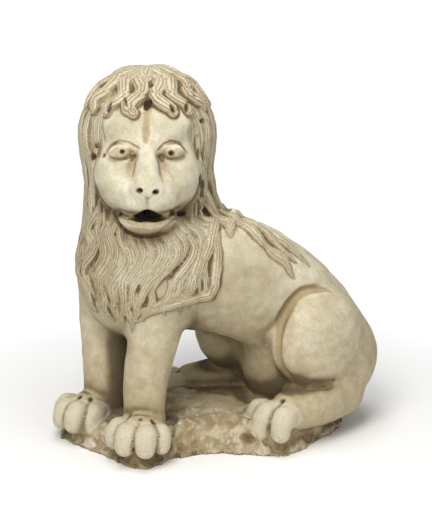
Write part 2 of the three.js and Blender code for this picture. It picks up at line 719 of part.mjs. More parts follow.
// Edges are drawn together, the least harmful first, until the wanted number of facets is left.
function simplify({ points, triangles }, wanted) {
  const p = points;
  const count = p.length / 3;
  const faces = Int32Array.from(triangles);
  const alive = new Uint8Array(faces.length / 3).fill(1);
  const around = Array.from({ length: count }, () => []);
  const error = new Float64Array(count * 10);
  const stamp = new Int32Array(count);
  const normal = (a, b, c) => {
    const ex = p[3 * b] - p[3 * a];
    const ey = p[3 * b + 1] - p[3 * a + 1];
    const ez = p[3 * b + 2] - p[3 * a + 2];
    const fx = p[3 * c] - p[3 * a];
    const fy = p[3 * c + 1] - p[3 * a + 1];
    const fz = p[3 * c + 2] - p[3 * a + 2];
    return [ey * fz - ez * fy, ez * fx - ex * fz, ex * fy - ey * fx];
  };
  for (let i = 0; i < alive.length; i++) {
    const [a, b, c] = [faces[3 * i], faces[3 * i + 1], faces[3 * i + 2]];
    const n = normal(a, b, c);
    const area = Math.max(1e-9, span(n[0], n[1], n[2]));
    const weight = area * care(p[3 * a], p[3 * a + 1], p[3 * a + 2]);
    const x = n[0] / area;
    const y = n[1] / area;
    const z = n[2] / area;
    const d = -(x * p[3 * a] + y * p[3 * a + 1] + z * p[3 * a + 2]);
    const plane = [x * x, x * y, x * z, x * d, y * y, y * z, y * d, z * z, z * d, d * d];
    for (const v of [a, b, c]) {
      around[v].push(i);
      for (let k = 0; k < 10; k++) error[10 * v + k] += weight * plane[k];
    }
  }
  const q = new Float64Array(10);
  const best = new Float64Array(3);
  // The cost of drawing u and v together, with the place for the joined point left in best.
  const target = (u, v) => {
    for (let k = 0; k < 10; k++) q[k] = error[10 * u + k] + error[10 * v + k];
    const mx = 0.5 * (p[3 * u] + p[3 * v]);
    const my = 0.5 * (p[3 * u + 1] + p[3 * v + 1]);
    const mz = 0.5 * (p[3 * u + 2] + p[3 * v + 2]);
    const long = span(p[3 * u] - p[3 * v], p[3 * u + 1] - p[3 * v + 1], p[3 * u + 2] - p[3 * v + 2]);
    const a = q[4] * q[7] - q[5] * q[5];
    const b = q[2] * q[5] - q[1] * q[7];
    const c = q[1] * q[5] - q[2] * q[4];
    const size = q[0] * a + q[1] * b + q[2] * c;
    const trace = q[0] + q[4] + q[7];
    best[0] = mx;
    best[1] = my;
    best[2] = mz;
    if (Math.abs(size) > 1e-4 * trace * trace * trace) {
      const e = q[0] * q[7] - q[2] * q[2];
      const f = q[1] * q[2] - q[0] * q[5];
      const g = q[0] * q[4] - q[1] * q[1];
      const x = -(a * q[3] + b * q[6] + c * q[8]) / size;
      const y = -(b * q[3] + e * q[6] + f * q[8]) / size;
      const z = -(c * q[3] + f * q[6] + g * q[8]) / size;
      if (span(x - mx, y - my, z - mz) < long) {
        best[0] = x;
        best[1] = y;
        best[2] = z;
      }
    }
    const [x, y, z] = best;
    const flat = q[0] * x * x + 2 * q[1] * x * y + 2 * q[2] * x * z + 2 * q[3] * x;
    const rest = q[4] * y * y + 2 * q[5] * y * z + 2 * q[6] * y + q[7] * z * z + 2 * q[8] * z + q[9];
    return Math.max(0, flat + rest) + 1e-4 * trace * long * long;
  };
  const heap = [];
  const rise = (item) => {
    let n = heap.length;
    heap.push(item);
    while (n > 0) {
      const parent = (n - 1) >> 1;
      if (heap[parent].cost <= item.cost) break;
      heap[n] = heap[parent];
      n = parent;
    }
    heap[n] = item;
  };
  const take = () => {
    const top = heap[0];
    const item = heap.pop();
    let n = 0;
    while (heap.length && 2 * n + 1 < heap.length) {
      let child = 2 * n + 1;
      if (child + 1 < heap.length && heap[child + 1].cost < heap[child].cost) child++;
      if (heap[child].cost >= item.cost) break;
      heap[n] = heap[child];
      n = child;
    }
    if (heap.length) heap[n] = item;
    return top;
  };
  const offer = (u, v) => {
    rise({ cost: target(u, v), u, v, su: stamp[u], sv: stamp[v] });
  };
  const neighbours = (v) => {
    const found = new Set();
    for (const i of around[v]) for (let k = 0; k < 3; k++) found.add(faces[3 * i + k]);
    found.delete(v);
    return found;
  };
  for (let v = 0; v < count; v++) for (const n of neighbours(v)) if (v < n) offer(v, n);
  const turnsOver = (v, other) => {
    for (const i of around[v]) {
      const a = faces[3 * i];
      const b = faces[3 * i + 1];
      const c = faces[3 * i + 2];
      if (a === other || b === other || c === other) continue;
      const before = normal(a, b, c);
      const kept = [p[3 * v], p[3 * v + 1], p[3 * v + 2]];
      p.set(best, 3 * v);
      const after = normal(a, b, c);
      p.set(kept, 3 * v);
      const same = before[0] * after[0] + before[1] * after[1] + before[2] * after[2];
      const long = span(after[0], after[1], after[2]);
      if (long < 0.05 || same < 0.3 * long * span(before[0], before[1], before[2])) return true;
    }
    return false;
  };
  let left = alive.length;
  while (left > wanted && heap.length) {
    const { u, v, su, sv } = take();
    if (stamp[u] !== su || stamp[v] !== sv) continue;
    const shared = around[u].filter((i) => around[v].includes(i));
    const near = neighbours(u);
    let common = 0;
    for (const n of neighbours(v)) if (near.has(n)) common++;
    if (shared.length !== 2 || common !== 2) continue;
    target(u, v);
    if (turnsOver(u, v) || turnsOver(v, u)) continue;
    for (const i of shared) {
      alive[i] = 0;
      for (let k = 0; k < 3; k++) around[faces[3 * i + k]] = around[faces[3 * i + k]].filter((n) => n !== i);
    }
    left -= 2;
    for (const i of around[v]) {
      for (let k = 0; k < 3; k++) if (faces[3 * i + k] === v) faces[3 * i + k] = u;
      around[u].push(i);
    }
    around[v] = [];
    stamp[v] = -1;
    stamp[u] += 1;
    p.set(best, 3 * u);
    for (let k = 0; k < 10; k++) error[10 * u + k] += error[10 * v + k];
    for (const n of neighbours(u)) offer(u, n);
  }
  return { points: p, triangles: faces.filter((_, i) => alive[(i / 3) | 0]) };
}

const shell = simplify(largest(surface(lion)), FACETS);

// The underside is made flat, and the origin is the middle of the underside.
const geometry = new THREE.BufferGeometry();
const used = [...new Set(shell.triangles)];
const renumber = new Map(used.map((n, i) => [n, i]));
const position = new Float32Array(used.length * 3);
used.forEach((n, i) => {
  position.set(shell.points.subarray(3 * n, 3 * n + 3), 3 * i);
  if (position[3 * i + 2] < 0.2 * GRAIN) position[3 * i + 2] = 0;
});
geometry.setAttribute("position", new THREE.BufferAttribute(position, 3));
geometry.setIndex([...shell.triangles].map((n) => renumber.get(n)));
geometry.computeBoundingBox();
const box = geometry.boundingBox;
geometry.translate(-0.5 * (box.min.x + box.max.x), -0.5 * (box.min.y + box.max.y), -box.min.z);
geometry.computeVertexNormals();

const stone = new THREE.MeshStandardMaterial({ color: 0xcfc3a2, roughness: 0.9, flatShading: true });
const statue = new THREE.Mesh(geometry, stone);
statue.name = "lion";

const part = new THREE.Group();
part.add(statue);
export default part;
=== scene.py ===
import math
import bpy
import numpy as np
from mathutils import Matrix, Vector


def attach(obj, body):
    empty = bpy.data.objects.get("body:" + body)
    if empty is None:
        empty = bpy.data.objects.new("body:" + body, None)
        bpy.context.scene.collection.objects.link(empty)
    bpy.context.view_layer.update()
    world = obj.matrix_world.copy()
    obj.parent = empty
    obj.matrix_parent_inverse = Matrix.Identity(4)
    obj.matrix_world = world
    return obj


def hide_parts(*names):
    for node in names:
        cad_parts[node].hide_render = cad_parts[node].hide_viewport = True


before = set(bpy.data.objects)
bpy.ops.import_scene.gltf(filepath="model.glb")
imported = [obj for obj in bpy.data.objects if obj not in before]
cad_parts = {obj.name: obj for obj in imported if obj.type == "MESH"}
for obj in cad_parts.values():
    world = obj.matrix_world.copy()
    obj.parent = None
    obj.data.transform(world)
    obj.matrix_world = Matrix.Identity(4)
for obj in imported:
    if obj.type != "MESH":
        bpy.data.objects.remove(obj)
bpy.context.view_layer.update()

# Sizes in millimetres, as in the solid: the rock in true size, the figure in its own measure.
HEIGHT, STAND, CROWN_HAIR = 620, 42, 10.4
HEAD_X, HEAD_Y, HEAD_TURN = -50, -100, 62
CROWN_Z, HOOD_RADIUS = 514, 103
CHEST_RADIUS, CHEST_Z = 106, 330
LOIN_RADIUS, BARREL_RADIUS, SHOULDER_RADIUS = 98, 98, 95
THIGH = (57, 84, 86)
SHANK_RADIUS, ANKLE_RADIUS, TOE_RADIUS, HOCK_RADIUS = 36, 34, 18, 54
PLINTH_TOP, PLINTH_SWELL, PLINTH_SLOPE, PLINTH_RIPPLE = 42, 11, 0.45, 3
EYE_X, EYE_Z, BROW_Z, NOSE_Z, MOUTH_Z, CHIN_Z = 38, 507, 544, 457, 411, 396
LOCK_WIDTH, LOCK_LENGTH, TAIL_RADIUS, GROOVE_RADIUS = 13.5, 90, 14, 6.5
# The plane of the face, how far out a line of hair starts, and where its lines are centred.
FACE_TILT, FACE_FRONT = 0.268, 95
LAID_OUT, HOOD_AXIS, CROWN_AXIS = 150, 30, 28
CHEST_AXIS, CHEST_REACH, CHEST_DEPTH = 35, 115.0, 1.1
UNIT = (HEIGHT - PLINTH_TOP) / (CROWN_Z + HOOD_RADIUS + CROWN_HAIR - STAND)


# Forms as distances in millimetres: negative inside.
def join(a, b, soft):
    """Both forms, with a soft corner between them."""
    h = np.clip(0.5 + 0.5 * (b - a) / soft, 0, 1)
    return b + (a - b) * h - soft * h * (1 - h)


def carve(a, b, soft):
    """The first form without the second."""
    return -join(-a, b, soft)


def within(a, b, soft):
    """Only what lies in both forms."""
    return -join(-a, -b, soft)


def step(value, low, high):
    """A smooth rise from 0 to 1 between two values."""
    t = np.clip((value - low) / (high - low), 0, 1)
    return t * t * (3 - 2 * t)


def mirrored(p):
    """Points with their left half laid on the right."""
    return np.stack([np.abs(p[:, 0]), p[:, 1], p[:, 2]], 1)


def ellipsoid(p, centre, axes, turn=0.0):
    u = p[:, 0] - centre[0]
    v = p[:, 1] - centre[1]
    c, s = math.cos(math.radians(turn)), math.sin(math.radians(turn))
    a = (u * c + v * s) / axes[0]
    b = (v * c - u * s) / axes[1]
    d = (p[:, 2] - centre[2]) / axes[2]
    near = np.sqrt(a * a + b * b + d * d)
    steep = np.sqrt((a / axes[0]) ** 2 + (b / axes[1]) ** 2 + (d / axes[2]) ** 2)
    return near * (near - 1) / np.maximum(steep, 1e-6)


def bar(p, a, b):
    """A straight rod between two places, each with its radius."""
    a, b = np.array(a, float), np.array(b, float)
    w = (b - a)[:3]
    q = p - a[:3]
    t = np.clip(q @ w / (w @ w), 0, 1)
    q = q - t[:, None] * w
    return np.sqrt((q * q).sum(1)) - a[3] - t * (b[3] - a[3])


def curve(stations, steps):
    s = np.array(stations, float)
    last = len(s) - 1
    made = []
    for i in range(last):
        a, b, c, d = s[max(0, i - 1)], s[i], s[i + 1], s[min(last, i + 2)]
        for j in range(steps):
            t = j / steps
            first = c - a
            second = 2 * a - 5 * b + 4 * c - d
            third = 3 * b - a - 3 * c + d
            made.append(b + 0.5 * t * (first + t * (second + t * third)))
    return made + [s[last]]


def limb(p, stations, steps=3):
    """Tapering rods along a smooth curve through the stations."""
    points = curve(stations, steps)
    least = bar(p, points[0], points[1])
    for a, b in zip(points[1:-1], points[2:]):
        least = np.minimum(least, bar(p, a, b))
    return least


def group(forms, soft):
    whole = forms[0]
    for form in forms[1:]:
        whole = join(whole, form, soft)
    return whole


# The rock: an irregular outline with a swelling top.
ROCK_OUTLINE = [
    (-107, -247), (-16, -224), (62, -205), (92, -185), (85, -150), (72, -120), (100, -40),
    (148, 20), (154, 58), (136, 108), (94, 196), (35, 232), (-45, 240), (-110, 205),
    (-160, 120), (-180, 0), (-172, -100), (-150, -215),
]
ROCK_EDGE = [point * UNIT for point in curve(ROCK_OUTLINE + ROCK_OUTLINE[:1], 3)]
WELL_ABOVE = 70


def inside_edge(p):
    """Distance to the rock's outline, seen from above: negative inside."""
    x, y = p[:, 0], p[:, 1]
    nearest = np.full(len(p), 1e18)
    side = np.ones(len(p))
    for (ax, ay), (bx, by) in zip(ROCK_EDGE[1:], ROCK_EDGE[:-1]):
        ex, ey = bx - ax, by - ay
        wx, wy = x - ax, y - ay
        t = np.clip((wx * ex + wy * ey) / (ex * ex + ey * ey), 0, 1)
        nearest = np.minimum(nearest, (wx - ex * t) ** 2 + (wy - ey * t) ** 2)
        above, below, left = y >= ay, y < by, ex * wy > ey * wx
        side = np.where((above & below & left) | ~(above | below | left), -side, side)
    return side * np.sqrt(nearest)


def rock(p):
    """Distance to the rock; well above it, the height over it is near enough."""
    x, y, z = p.T
    made = z - 2.0 * PLINTH_TOP
    near = made <= WELL_ABOVE
    x, y, z = x[near], y[near], z[near]
    broad = np.sin(x * 0.045 + 1.3) * np.cos(y * 0.052 - 0.4)
    fine = np.sin(x * 0.11 + z * 0.09) * np.cos(y * 0.12 - z * 0.07 + 2)
    wave = PLINTH_RIPPLE * (broad + 0.6 * fine)
    swell = np.exp(-((x + 10) ** 2 + (y - 20) ** 2) / 12800)
    top = z - PLINTH_TOP - PLINTH_SWELL * swell - 0.5 * wave
    edge = inside_edge(p[near]) + PLINTH_SLOPE * np.clip(z, 0, 60) + wave
    made[near] = within(edge, top, 16)
    return made


# The body and the legs.
def trunk(p):
    spine = limb(p, [
        (44, 185, 124, LOIN_RADIUS),
        (24, 124, 215, 0.97 * BARREL_RADIUS),
        (0, 28, 276, 1.03 * BARREL_RADIUS),
        (-24, -55, 286, 1.02 * SHOULDER_RADIUS),
        (-36, -118, 268, 0.82 * SHOULDER_RADIUS),
    ])
    return join(spine, ellipsoid(p, (6, 148, 108), (92, 86, 104)), 36)


def toe(p, x, y, dx, dy, size=1.0, lift=0.0):
    r = size * TOE_RADIUS
    return limb(p, [
        (x - dx, y - dy, 46 + lift, 0.9 * r),
        (x - 0.3 * dx, y - 0.3 * dy, 52 + 0.8 * lift, 1.08 * r),
        (x, y, 36 + 0.2 * lift, 0.85 * r),
    ])


# Toes of each foot: tip, direction, size and lift.
NEAR_HIND_TOES = [(80, 26, -16, -28, 0.9, 12), (116, 20, -2, -38, 1.05, 14), (150, 36, 16, -34, 1.05, 12)]
FAR_HIND_TOES = [(-124, -20, -4, -24, 0.85), (-146, -22, -10, -24, 0.9), (-165, -8, -14, -22, 0.85)]
NEAR_FRONT_TOES = [(32, -210, 12, -38), (66, -208, 22, -34, 1.06), (92, -184, 30, -24, 1.06),
                   (92, -154, 30, -8, 0.92)]
FAR_FRONT_TOES = [(-122, -234, -8, -34, 0.95), (-94, -246, 2, -36, 1.06), (-66, -238, 12, -34, 1.06),
                  (-48, -212, 22, -26, 0.92)]


def near_hind(p):
    return group([
        limb(p, [(84, 186, 72, HOCK_RADIUS), (112, 128, 66, 0.8 * HOCK_RADIUS),
                 (119, 76, 60, 0.66 * HOCK_RADIUS)]),
        *(toe(p, *made) for made in NEAR_HIND_TOES),
    ], 5)


def far_hind(p):
    return group([
        limb(p, [(-62, 150, 66, 0.8 * HOCK_RADIUS), (-98, 60, 58, 0.64 * HOCK_RADIUS),
                 (-122, 20, 50, 0.56 * HOCK_RADIUS)]),
        *(toe(p, *made) for made in FAR_HIND_TOES),
    ], 5)


def near_front(p):
    return group([
        limb(p, [(4, -106, 310, 1.6 * SHANK_RADIUS), (14, -124, 205, 1.22 * SHANK_RADIUS),
                 (20, -146, 115, SHANK_RADIUS), (22, -148, 58, ANKLE_RADIUS)]),
        bar(p, (22, -148, 52, ANKLE_RADIUS), (50, -168, 46, ANKLE_RADIUS)),
        *(toe(p, *made) for made in NEAR_FRONT_TOES),
    ], 5)


def far_front(p):
    return group([
        limb(p, [(-106, -146, 300, 1.45 * SHANK_RADIUS), (-104, -156, 200, 1.22 * SHANK_RADIUS),
                 (-97, -160, 115, 1.08 * SHANK_RADIUS), (-97, -163, 58, 1.08 * ANKLE_RADIUS)]),
        bar(p, (-97, -163, 52, 1.05 * ANKLE_RADIUS), (-88, -198, 46, ANKLE_RADIUS)),
        *(toe(p, *made) for made in FAR_FRONT_TOES),
    ], 5)


# The head, in a frame of its own that is turned and set back.
TURN_COS, TURN_SIN = math.cos(math.radians(HEAD_TURN)), math.sin(math.radians(HEAD_TURN))


def to_head(p):
    u, v = p[:, 0] - HEAD_X, p[:, 1] - HEAD_Y
    return np.stack([u * TURN_COS + v * TURN_SIN, v * TURN_COS - u * TURN_SIN, p[:, 2]], 1)


def from_head(across, away, z):
    return (across * TURN_COS - away * TURN_SIN + HEAD_X,
            across * TURN_SIN + away * TURN_COS + HEAD_Y, z)


def hood(q):
    return group([
        limb(q, [(0, 28, CROWN_Z, HOOD_RADIUS), (0, 34, 0.5 * (CROWN_Z + CHEST_Z), HOOD_RADIUS),
                 (-2, 35, CHEST_Z, CHEST_RADIUS)]),
        ellipsoid(q, (0, 28, CROWN_Z), (HOOD_RADIUS + 3, HOOD_RADIUS, HOOD_RADIUS)),
        ellipsoid(q, (-9, 12, CHEST_Z - 25), (106, 86, 95)),
        ellipsoid(q, (-32, -25, CHEST_Z - 65), (68, 52, 76)),
        ellipsoid(q, (12, -50, CHEST_Z + 5), (78, 50, 75)),
    ], 24)


def head(q):
    m = mirrored(q)
    form = ellipsoid(q, (0, -22, 485), (82, 78, 112))
    form = join(form, ellipsoid(m, (35, -46, BROW_Z), (40, 37, 34)), 10)
    form = join(form, ellipsoid(m, (46, -60, NOSE_Z), (38, 40, 50)), 18)
    form = join(form, ellipsoid(q, (0, -84, NOSE_Z - 16), (55, 56, 38)), 16)
    form = join(form, bar(q, (0, -84, EYE_Z + 13, 15), (0, -124, NOSE_Z + 2, 22)), 9)
    form = join(form, ellipsoid(m, (13, -126, NOSE_Z - 4), (14, 14, 13)), 6)
    return join(form, ellipsoid(q, (0, -78, CHIN_Z), (46, 48, 23)), 6)


def plain_face(q):
    m = mirrored(q)
    form = carve(head(q), ellipsoid(m, (EYE_X + 1, -110, EYE_Z), (25, 19, 14)), 5)
    form = join(form, ellipsoid(m, (EYE_X, -83, EYE_Z - 1), (18, 14, 12)), 1.5)
    form = carve(form, ellipsoid(m, (12, -140, NOSE_Z - 3), (4.5, 14, 5)), 1)
    return carve(form, ellipsoid(q, (0, -132, MOUTH_Z), (32, 36, 7)), 3)


def body(p):
    form = trunk(p)
    form = join(form, ellipsoid(p, (103, 137, 175), THIGH, -4), 9)
    form = join(form, ellipsoid(p, (-80, 88, 163), (0.95 * THIGH[0], THIGH[1], THIGH[2]), 10), 24)
    form = join(form, near_hind(p), 7)
    form = join(form, far_hind(p), 7)
    form = join(form, near_front(p), 20)
    form = join(form, far_front(p), 20)
    return join(form, hood(to_head(p)), 26)


def body_and_face(p):
    return join(body(p), plain_face(to_head(p)), 10)


# Locks of hair follow lines laid on a form.
def slope(form, p, e=0.5):
    steps = np.eye(3) * e
    g = np.stack([form(p + s) - form(p - s) for s in steps], 1)
    return g / np.maximum(np.linalg.norm(g, axis=1, keepdims=True), 1e-9)


def settle(form, p, steps=12):
    """Points moved onto a form's surface, and the surface's directions there."""
    p = np.array(p, float)
    for _ in range(steps):
        p = p - slope(form, p) * form(p)[:, None]
    return p, slope(form, p)


class Lock:
    """A lock of hair: a line, its width and rise, its widths along it and how deep it is sunk."""

    def __init__(self, line, width, rise, widths, form=body, sunk=(0.2, 0.2)):
        self.line, self.form, self.rise = np.array(line, float), form, rise
        self.sunk = np.linspace(*sunk, len(line))
        place = np.linspace(0, 1, len(line))
        self.w = width * np.interp(place, np.linspace(0, 1, len(widths)), widths)


def lay(locks):
    """Settles the lines of all locks that share a form in one go."""
    for form in {lock.form for lock in locks}:
        chosen = [lock for lock in locks if lock.form is form]
        p, n = settle(form, np.concatenate([lock.line for lock in chosen]))
        start = 0
        for lock in chosen:
            end = start + len(lock.line)
            lock.n = n[start:end]
            lock.p = p[start:end] - lock.n * (lock.sunk * lock.rise * lock.w)[:, None]
            lock.middle = lock.p.mean(0)
            lock.reach = (np.linalg.norm(lock.p - lock.middle, axis=1) + lock.w).max()
            start = end
    return locks


# Beyond CLOSE_BY a rough distance to a lock will do, and beyond FAR_OFF none.
CLOSE_BY, FAR_OFF = 12, 60.0


def hair(p, locks, full=False):
    """Distance to the locks; with full, also which lock is nearest and where across it."""
    least = np.full(len(p), FAR_OFF)
    owner = np.full(len(p), -1)
    across = np.zeros(len(p))
    for k, lock in enumerate(locks):
        far = np.sqrt(((p - lock.middle) ** 2).sum(1)) - lock.reach
        near = np.nonzero(far < np.minimum(CLOSE_BY, least))[0]
        off = far >= CLOSE_BY
        least[off] = np.minimum(least[off], far[off])
        if not len(near):
            continue
        q = p[near]
        best = np.full(len(near), np.inf)
        aside_share = np.zeros(len(near))
        for i in range(len(lock.p) - 1):
            a, b = lock.p[i], lock.p[i + 1]
            w = b - a
            t = np.clip((q - a) @ w / (w @ w), 0, 1)
            d = q - a - t[:, None] * w
            n = lock.n[i] + t[:, None] * (lock.n[i + 1] - lock.n[i])
            up = (d * n).sum(1)
            aside = np.sqrt(np.maximum(0, (d * d).sum(1) - up * up))
            wide = lock.w[i] + t * (lock.w[i + 1] - lock.w[i])
            tall = wide * lock.rise
            close = np.sqrt((aside / wide) ** 2 + (up / tall) ** 2)
            steep = np.sqrt((aside / wide**2) ** 2 + (up / tall**2) ** 2)
            value = close * (close - 1) / np.maximum(steep, 1e-6)
            better = value < best
            if full:
                sign = np.sign((np.cross(w, n) * d).sum(1))
                aside_share = np.where(better, sign * aside / wide, aside_share)
            best = np.where(better, value, best)
        win = best < least[near]
        least[near[win]] = best[win]
        if full:
            owner[near[win]] = k
            across[near[win]] = aside_share[win]
    return (least, owner, across) if full else least


def share(seed):
    """A repeatable number between 0 and 1."""
    value = math.sin(seed * 12.9898) * 43758.5453
    return value - math.floor(value)


# Lines of hair start off the form, beside the hood, over the crown or over the chest.
def beside(angle, z):
    a = math.radians(angle)
    return from_head(LAID_OUT * math.sin(a), HOOD_AXIS - LAID_OUT * math.cos(a), z)


def over_crown(angle, polar):
    a, b = math.radians(angle), math.radians(polar)
    out = LAID_OUT * math.sin(b)
    up = CROWN_Z + LAID_OUT * math.cos(b)
    return from_head(out * math.sin(a), CROWN_AXIS - out * math.cos(a), up)


def over_chest(u, v):
    """From a place in the plane of the face: across and up from the eyes."""
    y = CHEST_AXIS - CHEST_DEPTH * math.sqrt(max(0.0, CHEST_REACH**2 - u * u))
    return from_head(u, y, v + EYE_Z - FACE_TILT * (y + FACE_FRONT))


# The edge of the mane over the chest, across and down from the eyes.
MANE_DOWN = [40, 131, 180, 214, 238, 255, 282]
MANE_LEFT = [-112, -114, -110, -106, -99, -88, -40]
MANE_RIGHT = [112, 125, 118, 92, 52, 20, -22]
MANE_ACROSS = [-114, -106, -99, -88, -40, -22, 20, 52, 92, 118, 126]
MANE_END = [-180, -214, -238, -255, -282, -282, -255, -238, -214, -180, -125]
# Half the width of the mane, and the oval of the face: middle and half axes.
MANE_HALF = 113
FACE_MIDDLE, FACE_HALF_WIDTH, FACE_HALF_HEIGHT = -32, 74, 102
MANE = []


def back_row(top, seed, count=5, start=118, end=242):
    """Long locks side by side down the back of the head."""
    for i in range(count):
        angle = start + (end - start) * (i + 0.5) / count
        long = 1.06 * LOCK_LENGTH * (0.88 + 0.24 * share(seed * 17 + i))
        begin = top + 8 * (share(seed + i * 3) - 0.5)
        swing = 2.5 * (1 if (i + seed) % 2 else -1) * (0.7 + 0.6 * share(seed * 5 + i))
        line = []
        for j in range(7):
            u = j / 6
            turn = angle + swing * math.sin(u * math.pi * 1.7)
            line.append(beside(turn, begin - long * u))
        width = 1.4 * LOCK_WIDTH * (0.9 + 0.2 * share(seed + i))
        MANE.append(Lock(line, width, 0.35, (0.55, 1, 0.9, 0.15)))


def side_locks(side):
    """Straight locks behind a cheek, and loose ones under them."""
    for i in range(4):
        angle = 62 + 14 * i
        straight = [beside(side * (angle + 2 * math.sin(j)), 592 - 34 * j) for j in range(6)]
        loose = [beside(side * (angle + 4 * math.sin(0.9 * j + i)), 440 - 22 * j) for j in range(5)]
        MANE.append(Lock(straight, 0.93 * LOCK_WIDTH, 0.42, (0.7, 1, 1, 0.6)))
        MANE.append(Lock(loose, LOCK_WIDTH, 0.45, (0.6, 1, 1, 0.3)))


def chest_row(k, count=11):
    """Fine locks over the chest that follow one flow, so that none crosses another."""
    for i in range(count):
        place = (i + 0.3 + 0.5 * (k % 2) + 0.2 * share(i + 5 * k)) / count
        seed = 31 * k + i
        begin = -24 - 35 * k + 12 * share(seed + 2)
        long = 98 + 26 * share(seed)
        line = []
        for j in range(12):
            v = begin - long * j / 11
            left = np.interp(-v, MANE_DOWN, MANE_LEFT)
            right = np.interp(-v, MANE_DOWN, MANE_RIGHT)
            wave = 7.5 * math.sin(v / 13 + 1.8 * math.sin(4 * place) + 0.8 * share(seed + 5))
            line.append((left + place * (right - left) + wave, v))
        u, v = line[7]
        too_wide = max(abs(point[0]) for point in line) > MANE_HALF
        over_face = math.hypot(u / FACE_HALF_WIDTH, (v - FACE_MIDDLE) / FACE_HALF_HEIGHT) < 1
        past_end = begin - long < np.interp(line[-1][0], MANE_ACROSS, MANE_END)
        if too_wide or over_face or past_end:
            continue
        line = [over_chest(*point) for point in line]
        width = 9.5 + 2.5 * share(seed + 7)
        MANE.append(Lock(line, width, 1.0, (0.6, 1, 0.95, 0.65, 0.14), body, (0.45, -0.1)))


def side_strands(side):
    """Thin locks that hang behind a cheek."""
    for i in range(5):
        line = [beside(side * (60 + 13 * i + 2.5 * math.sin(0.9 * j + i)), 590 - 27 * j)
                for j in range(8)]
        MANE.append(Lock(line, 0.75 * LOCK_WIDTH, 0.6, (0.5, 1, 0.95, 0.9, 0.4)))


def crown_ring(count, top, foot, width):
    """Waved locks over the crown, between two angles from its top."""
    for i in range(count):
        start = -90 + 180 * (i + 0.5) / count + 4 * share(7 * i + count)
        line = []
        for j in range(7):
            polar = top + (foot - top) * j / 6
            wave = 5.5 * math.sin(polar / 4.6 + 1.6 * math.sin(start / 21)) * min(1.0, polar / 30)
            line.append(over_crown(start + wave + 0.12 * j * start / 10, polar))
        wide = width * (0.92 + 0.16 * share(i))
        MANE.append(Lock(line, wide, 0.85, (0.7, 1, 1.05, 1, 0.7), body_and_face, (0.5, 0.0)))


def ragged_tips(count=10):
    """Short locks whose tips make the lower edge of the mane uneven."""
    for i in range(count):
        u = -92 + 20 * i + 5 * share(i)
        v = np.interp(u, MANE_ACROSS, MANE_END)
        lean = -10 if u > -25 else 8
        long = 54 + 8 * share(i + 3)
        line = []
        for j in range(6):
            aside = u + lean * j / 5 + 3 * math.sin(1.3 * j + i)
            line.append(over_chest(aside, v + 46 - long * j / 5))
        MANE.append(Lock(line, 8.5, 1.0, (0.6, 1, 0.9, 0.6, 0.14), body, (0.3, 0.0)))


# Locks that frame the cheeks, across and up from the eyes.
CHEEKS = [
    [(85, 24), (83, -10), (81, -42), (79, -72), (81, -102), (88, -134)],
    [(77, -62), (70, -84), (70, -108), (78, -134), (80, -160)],
    [(98, -8), (95, -42), (92, -76), (94, -108), (100, -140)],
    [(-83, 12), (-82, -24), (-79, -58), (-76, -90), (-79, -120), (-86, -146)],
    [(-96, 4), (-94, -36), (-90, -70), (-88, -104), (-94, -136)],
]


def cheek_locks():
    for points in CHEEKS:
        line = [over_chest(*point) for point in points]
        MANE.append(Lock(line, 10, 0.9, (0.6, 1, 1, 0.7, 0.2), body_and_face, (0.3, 0.0)))


for k in range(4):
    back_row(330 + 73 * k, 11 + k)
for side in (-1, 1):
    side_locks(side)
for k in range(7):
    chest_row(k)
for side in (-1, 1):
    side_strands(side)
for count, top, foot, width in ((8, 36, 62, 14), (8, 18, 47, 14.5), (7, 2, 29, 15)):
    crown_ring(count, top, foot, width)
ragged_tips()
cheek_locks()
lay(MANE)

# The tuft of the tail is a band of locks along the back. Each has a start and a length along
# the band, a place across it, and a share by which it fans out.
TUFT = []
for start, long, off, fan in ((0, 0.55, -12, -6), (0.03, 0.82, 2, -3), (0.22, 0.8, 17, 4),
                              (0.45, 0.5, -17, -3)):
    line = []
    for j in range(7):
        u = start + long * j / 6
        aside = off + fan * j / 6 + 4 * math.sin(1.2 * j + 9 * start)
        line.append((31 + 65 * u - 0.51 * aside, 32 + 79 * u + 0.77 * aside,
                     373 - 81 * u + 0.33 * aside))
    TUFT.append(Lock(line, 12, 0.95, (0.7, 1, 0.95, 0.6, 0.15)))
lay(TUFT)

# The tail climbs the far flank to its tuft.
TAIL_LINE = [(0, 290, 60), (-50, 280, 90), (-90, 230, 170), (-90, 170, 260), (-75, 120, 320),
             (-45, 70, 365), (6, 30, 390)]
tail_p, tail_n = settle(body, TAIL_LINE)
tail_r = TAIL_RADIUS * (1.25 - 0.1 * np.arange(len(TAIL_LINE)))
TAIL = np.concatenate([tail_p + 0.2 * tail_r[:, None] * tail_n, tail_r[:, None]], 1)


# The groove round the near thigh.
turn = np.radians(np.arange(60, 301, 24))
ring = [np.full(len(turn), 110.0), 120 + 66 * np.cos(turn), 180 + 86 * np.sin(turn)]
groove_p = settle(body, np.stack(ring, 1))[0]
groove_r = GROOVE_RADIUS * (0.75 - 0.25 * np.cos(turn))
GROOVE = np.concatenate([groove_p, groove_r[:, None]], 1)


def to_figure(p):
    """From the statue's place in the world to the figure's own measure."""
    return np.stack([p[:, 0] / UNIT, p[:, 1] / UNIT, (p[:, 2] - PLINTH_TOP) / UNIT + STAND], 1)


def grooved_body(p):
    return carve(body(p), limb(p, GROOVE, 2), 7)


def fine_face(q):
    m = mirrored(q)
    form = carve(head(q), ellipsoid(m, (EYE_X + 2, -110, EYE_Z), (26, 19, 17)), 4)
    form = join(form, ellipsoid(m, (EYE_X + 1, -84, EYE_Z - 1), (21, 14, 15)), 1.5)
    return carve(form, ellipsoid(q, (1, -128, MOUTH_Z - 1), (22, 26, 5)), 5)


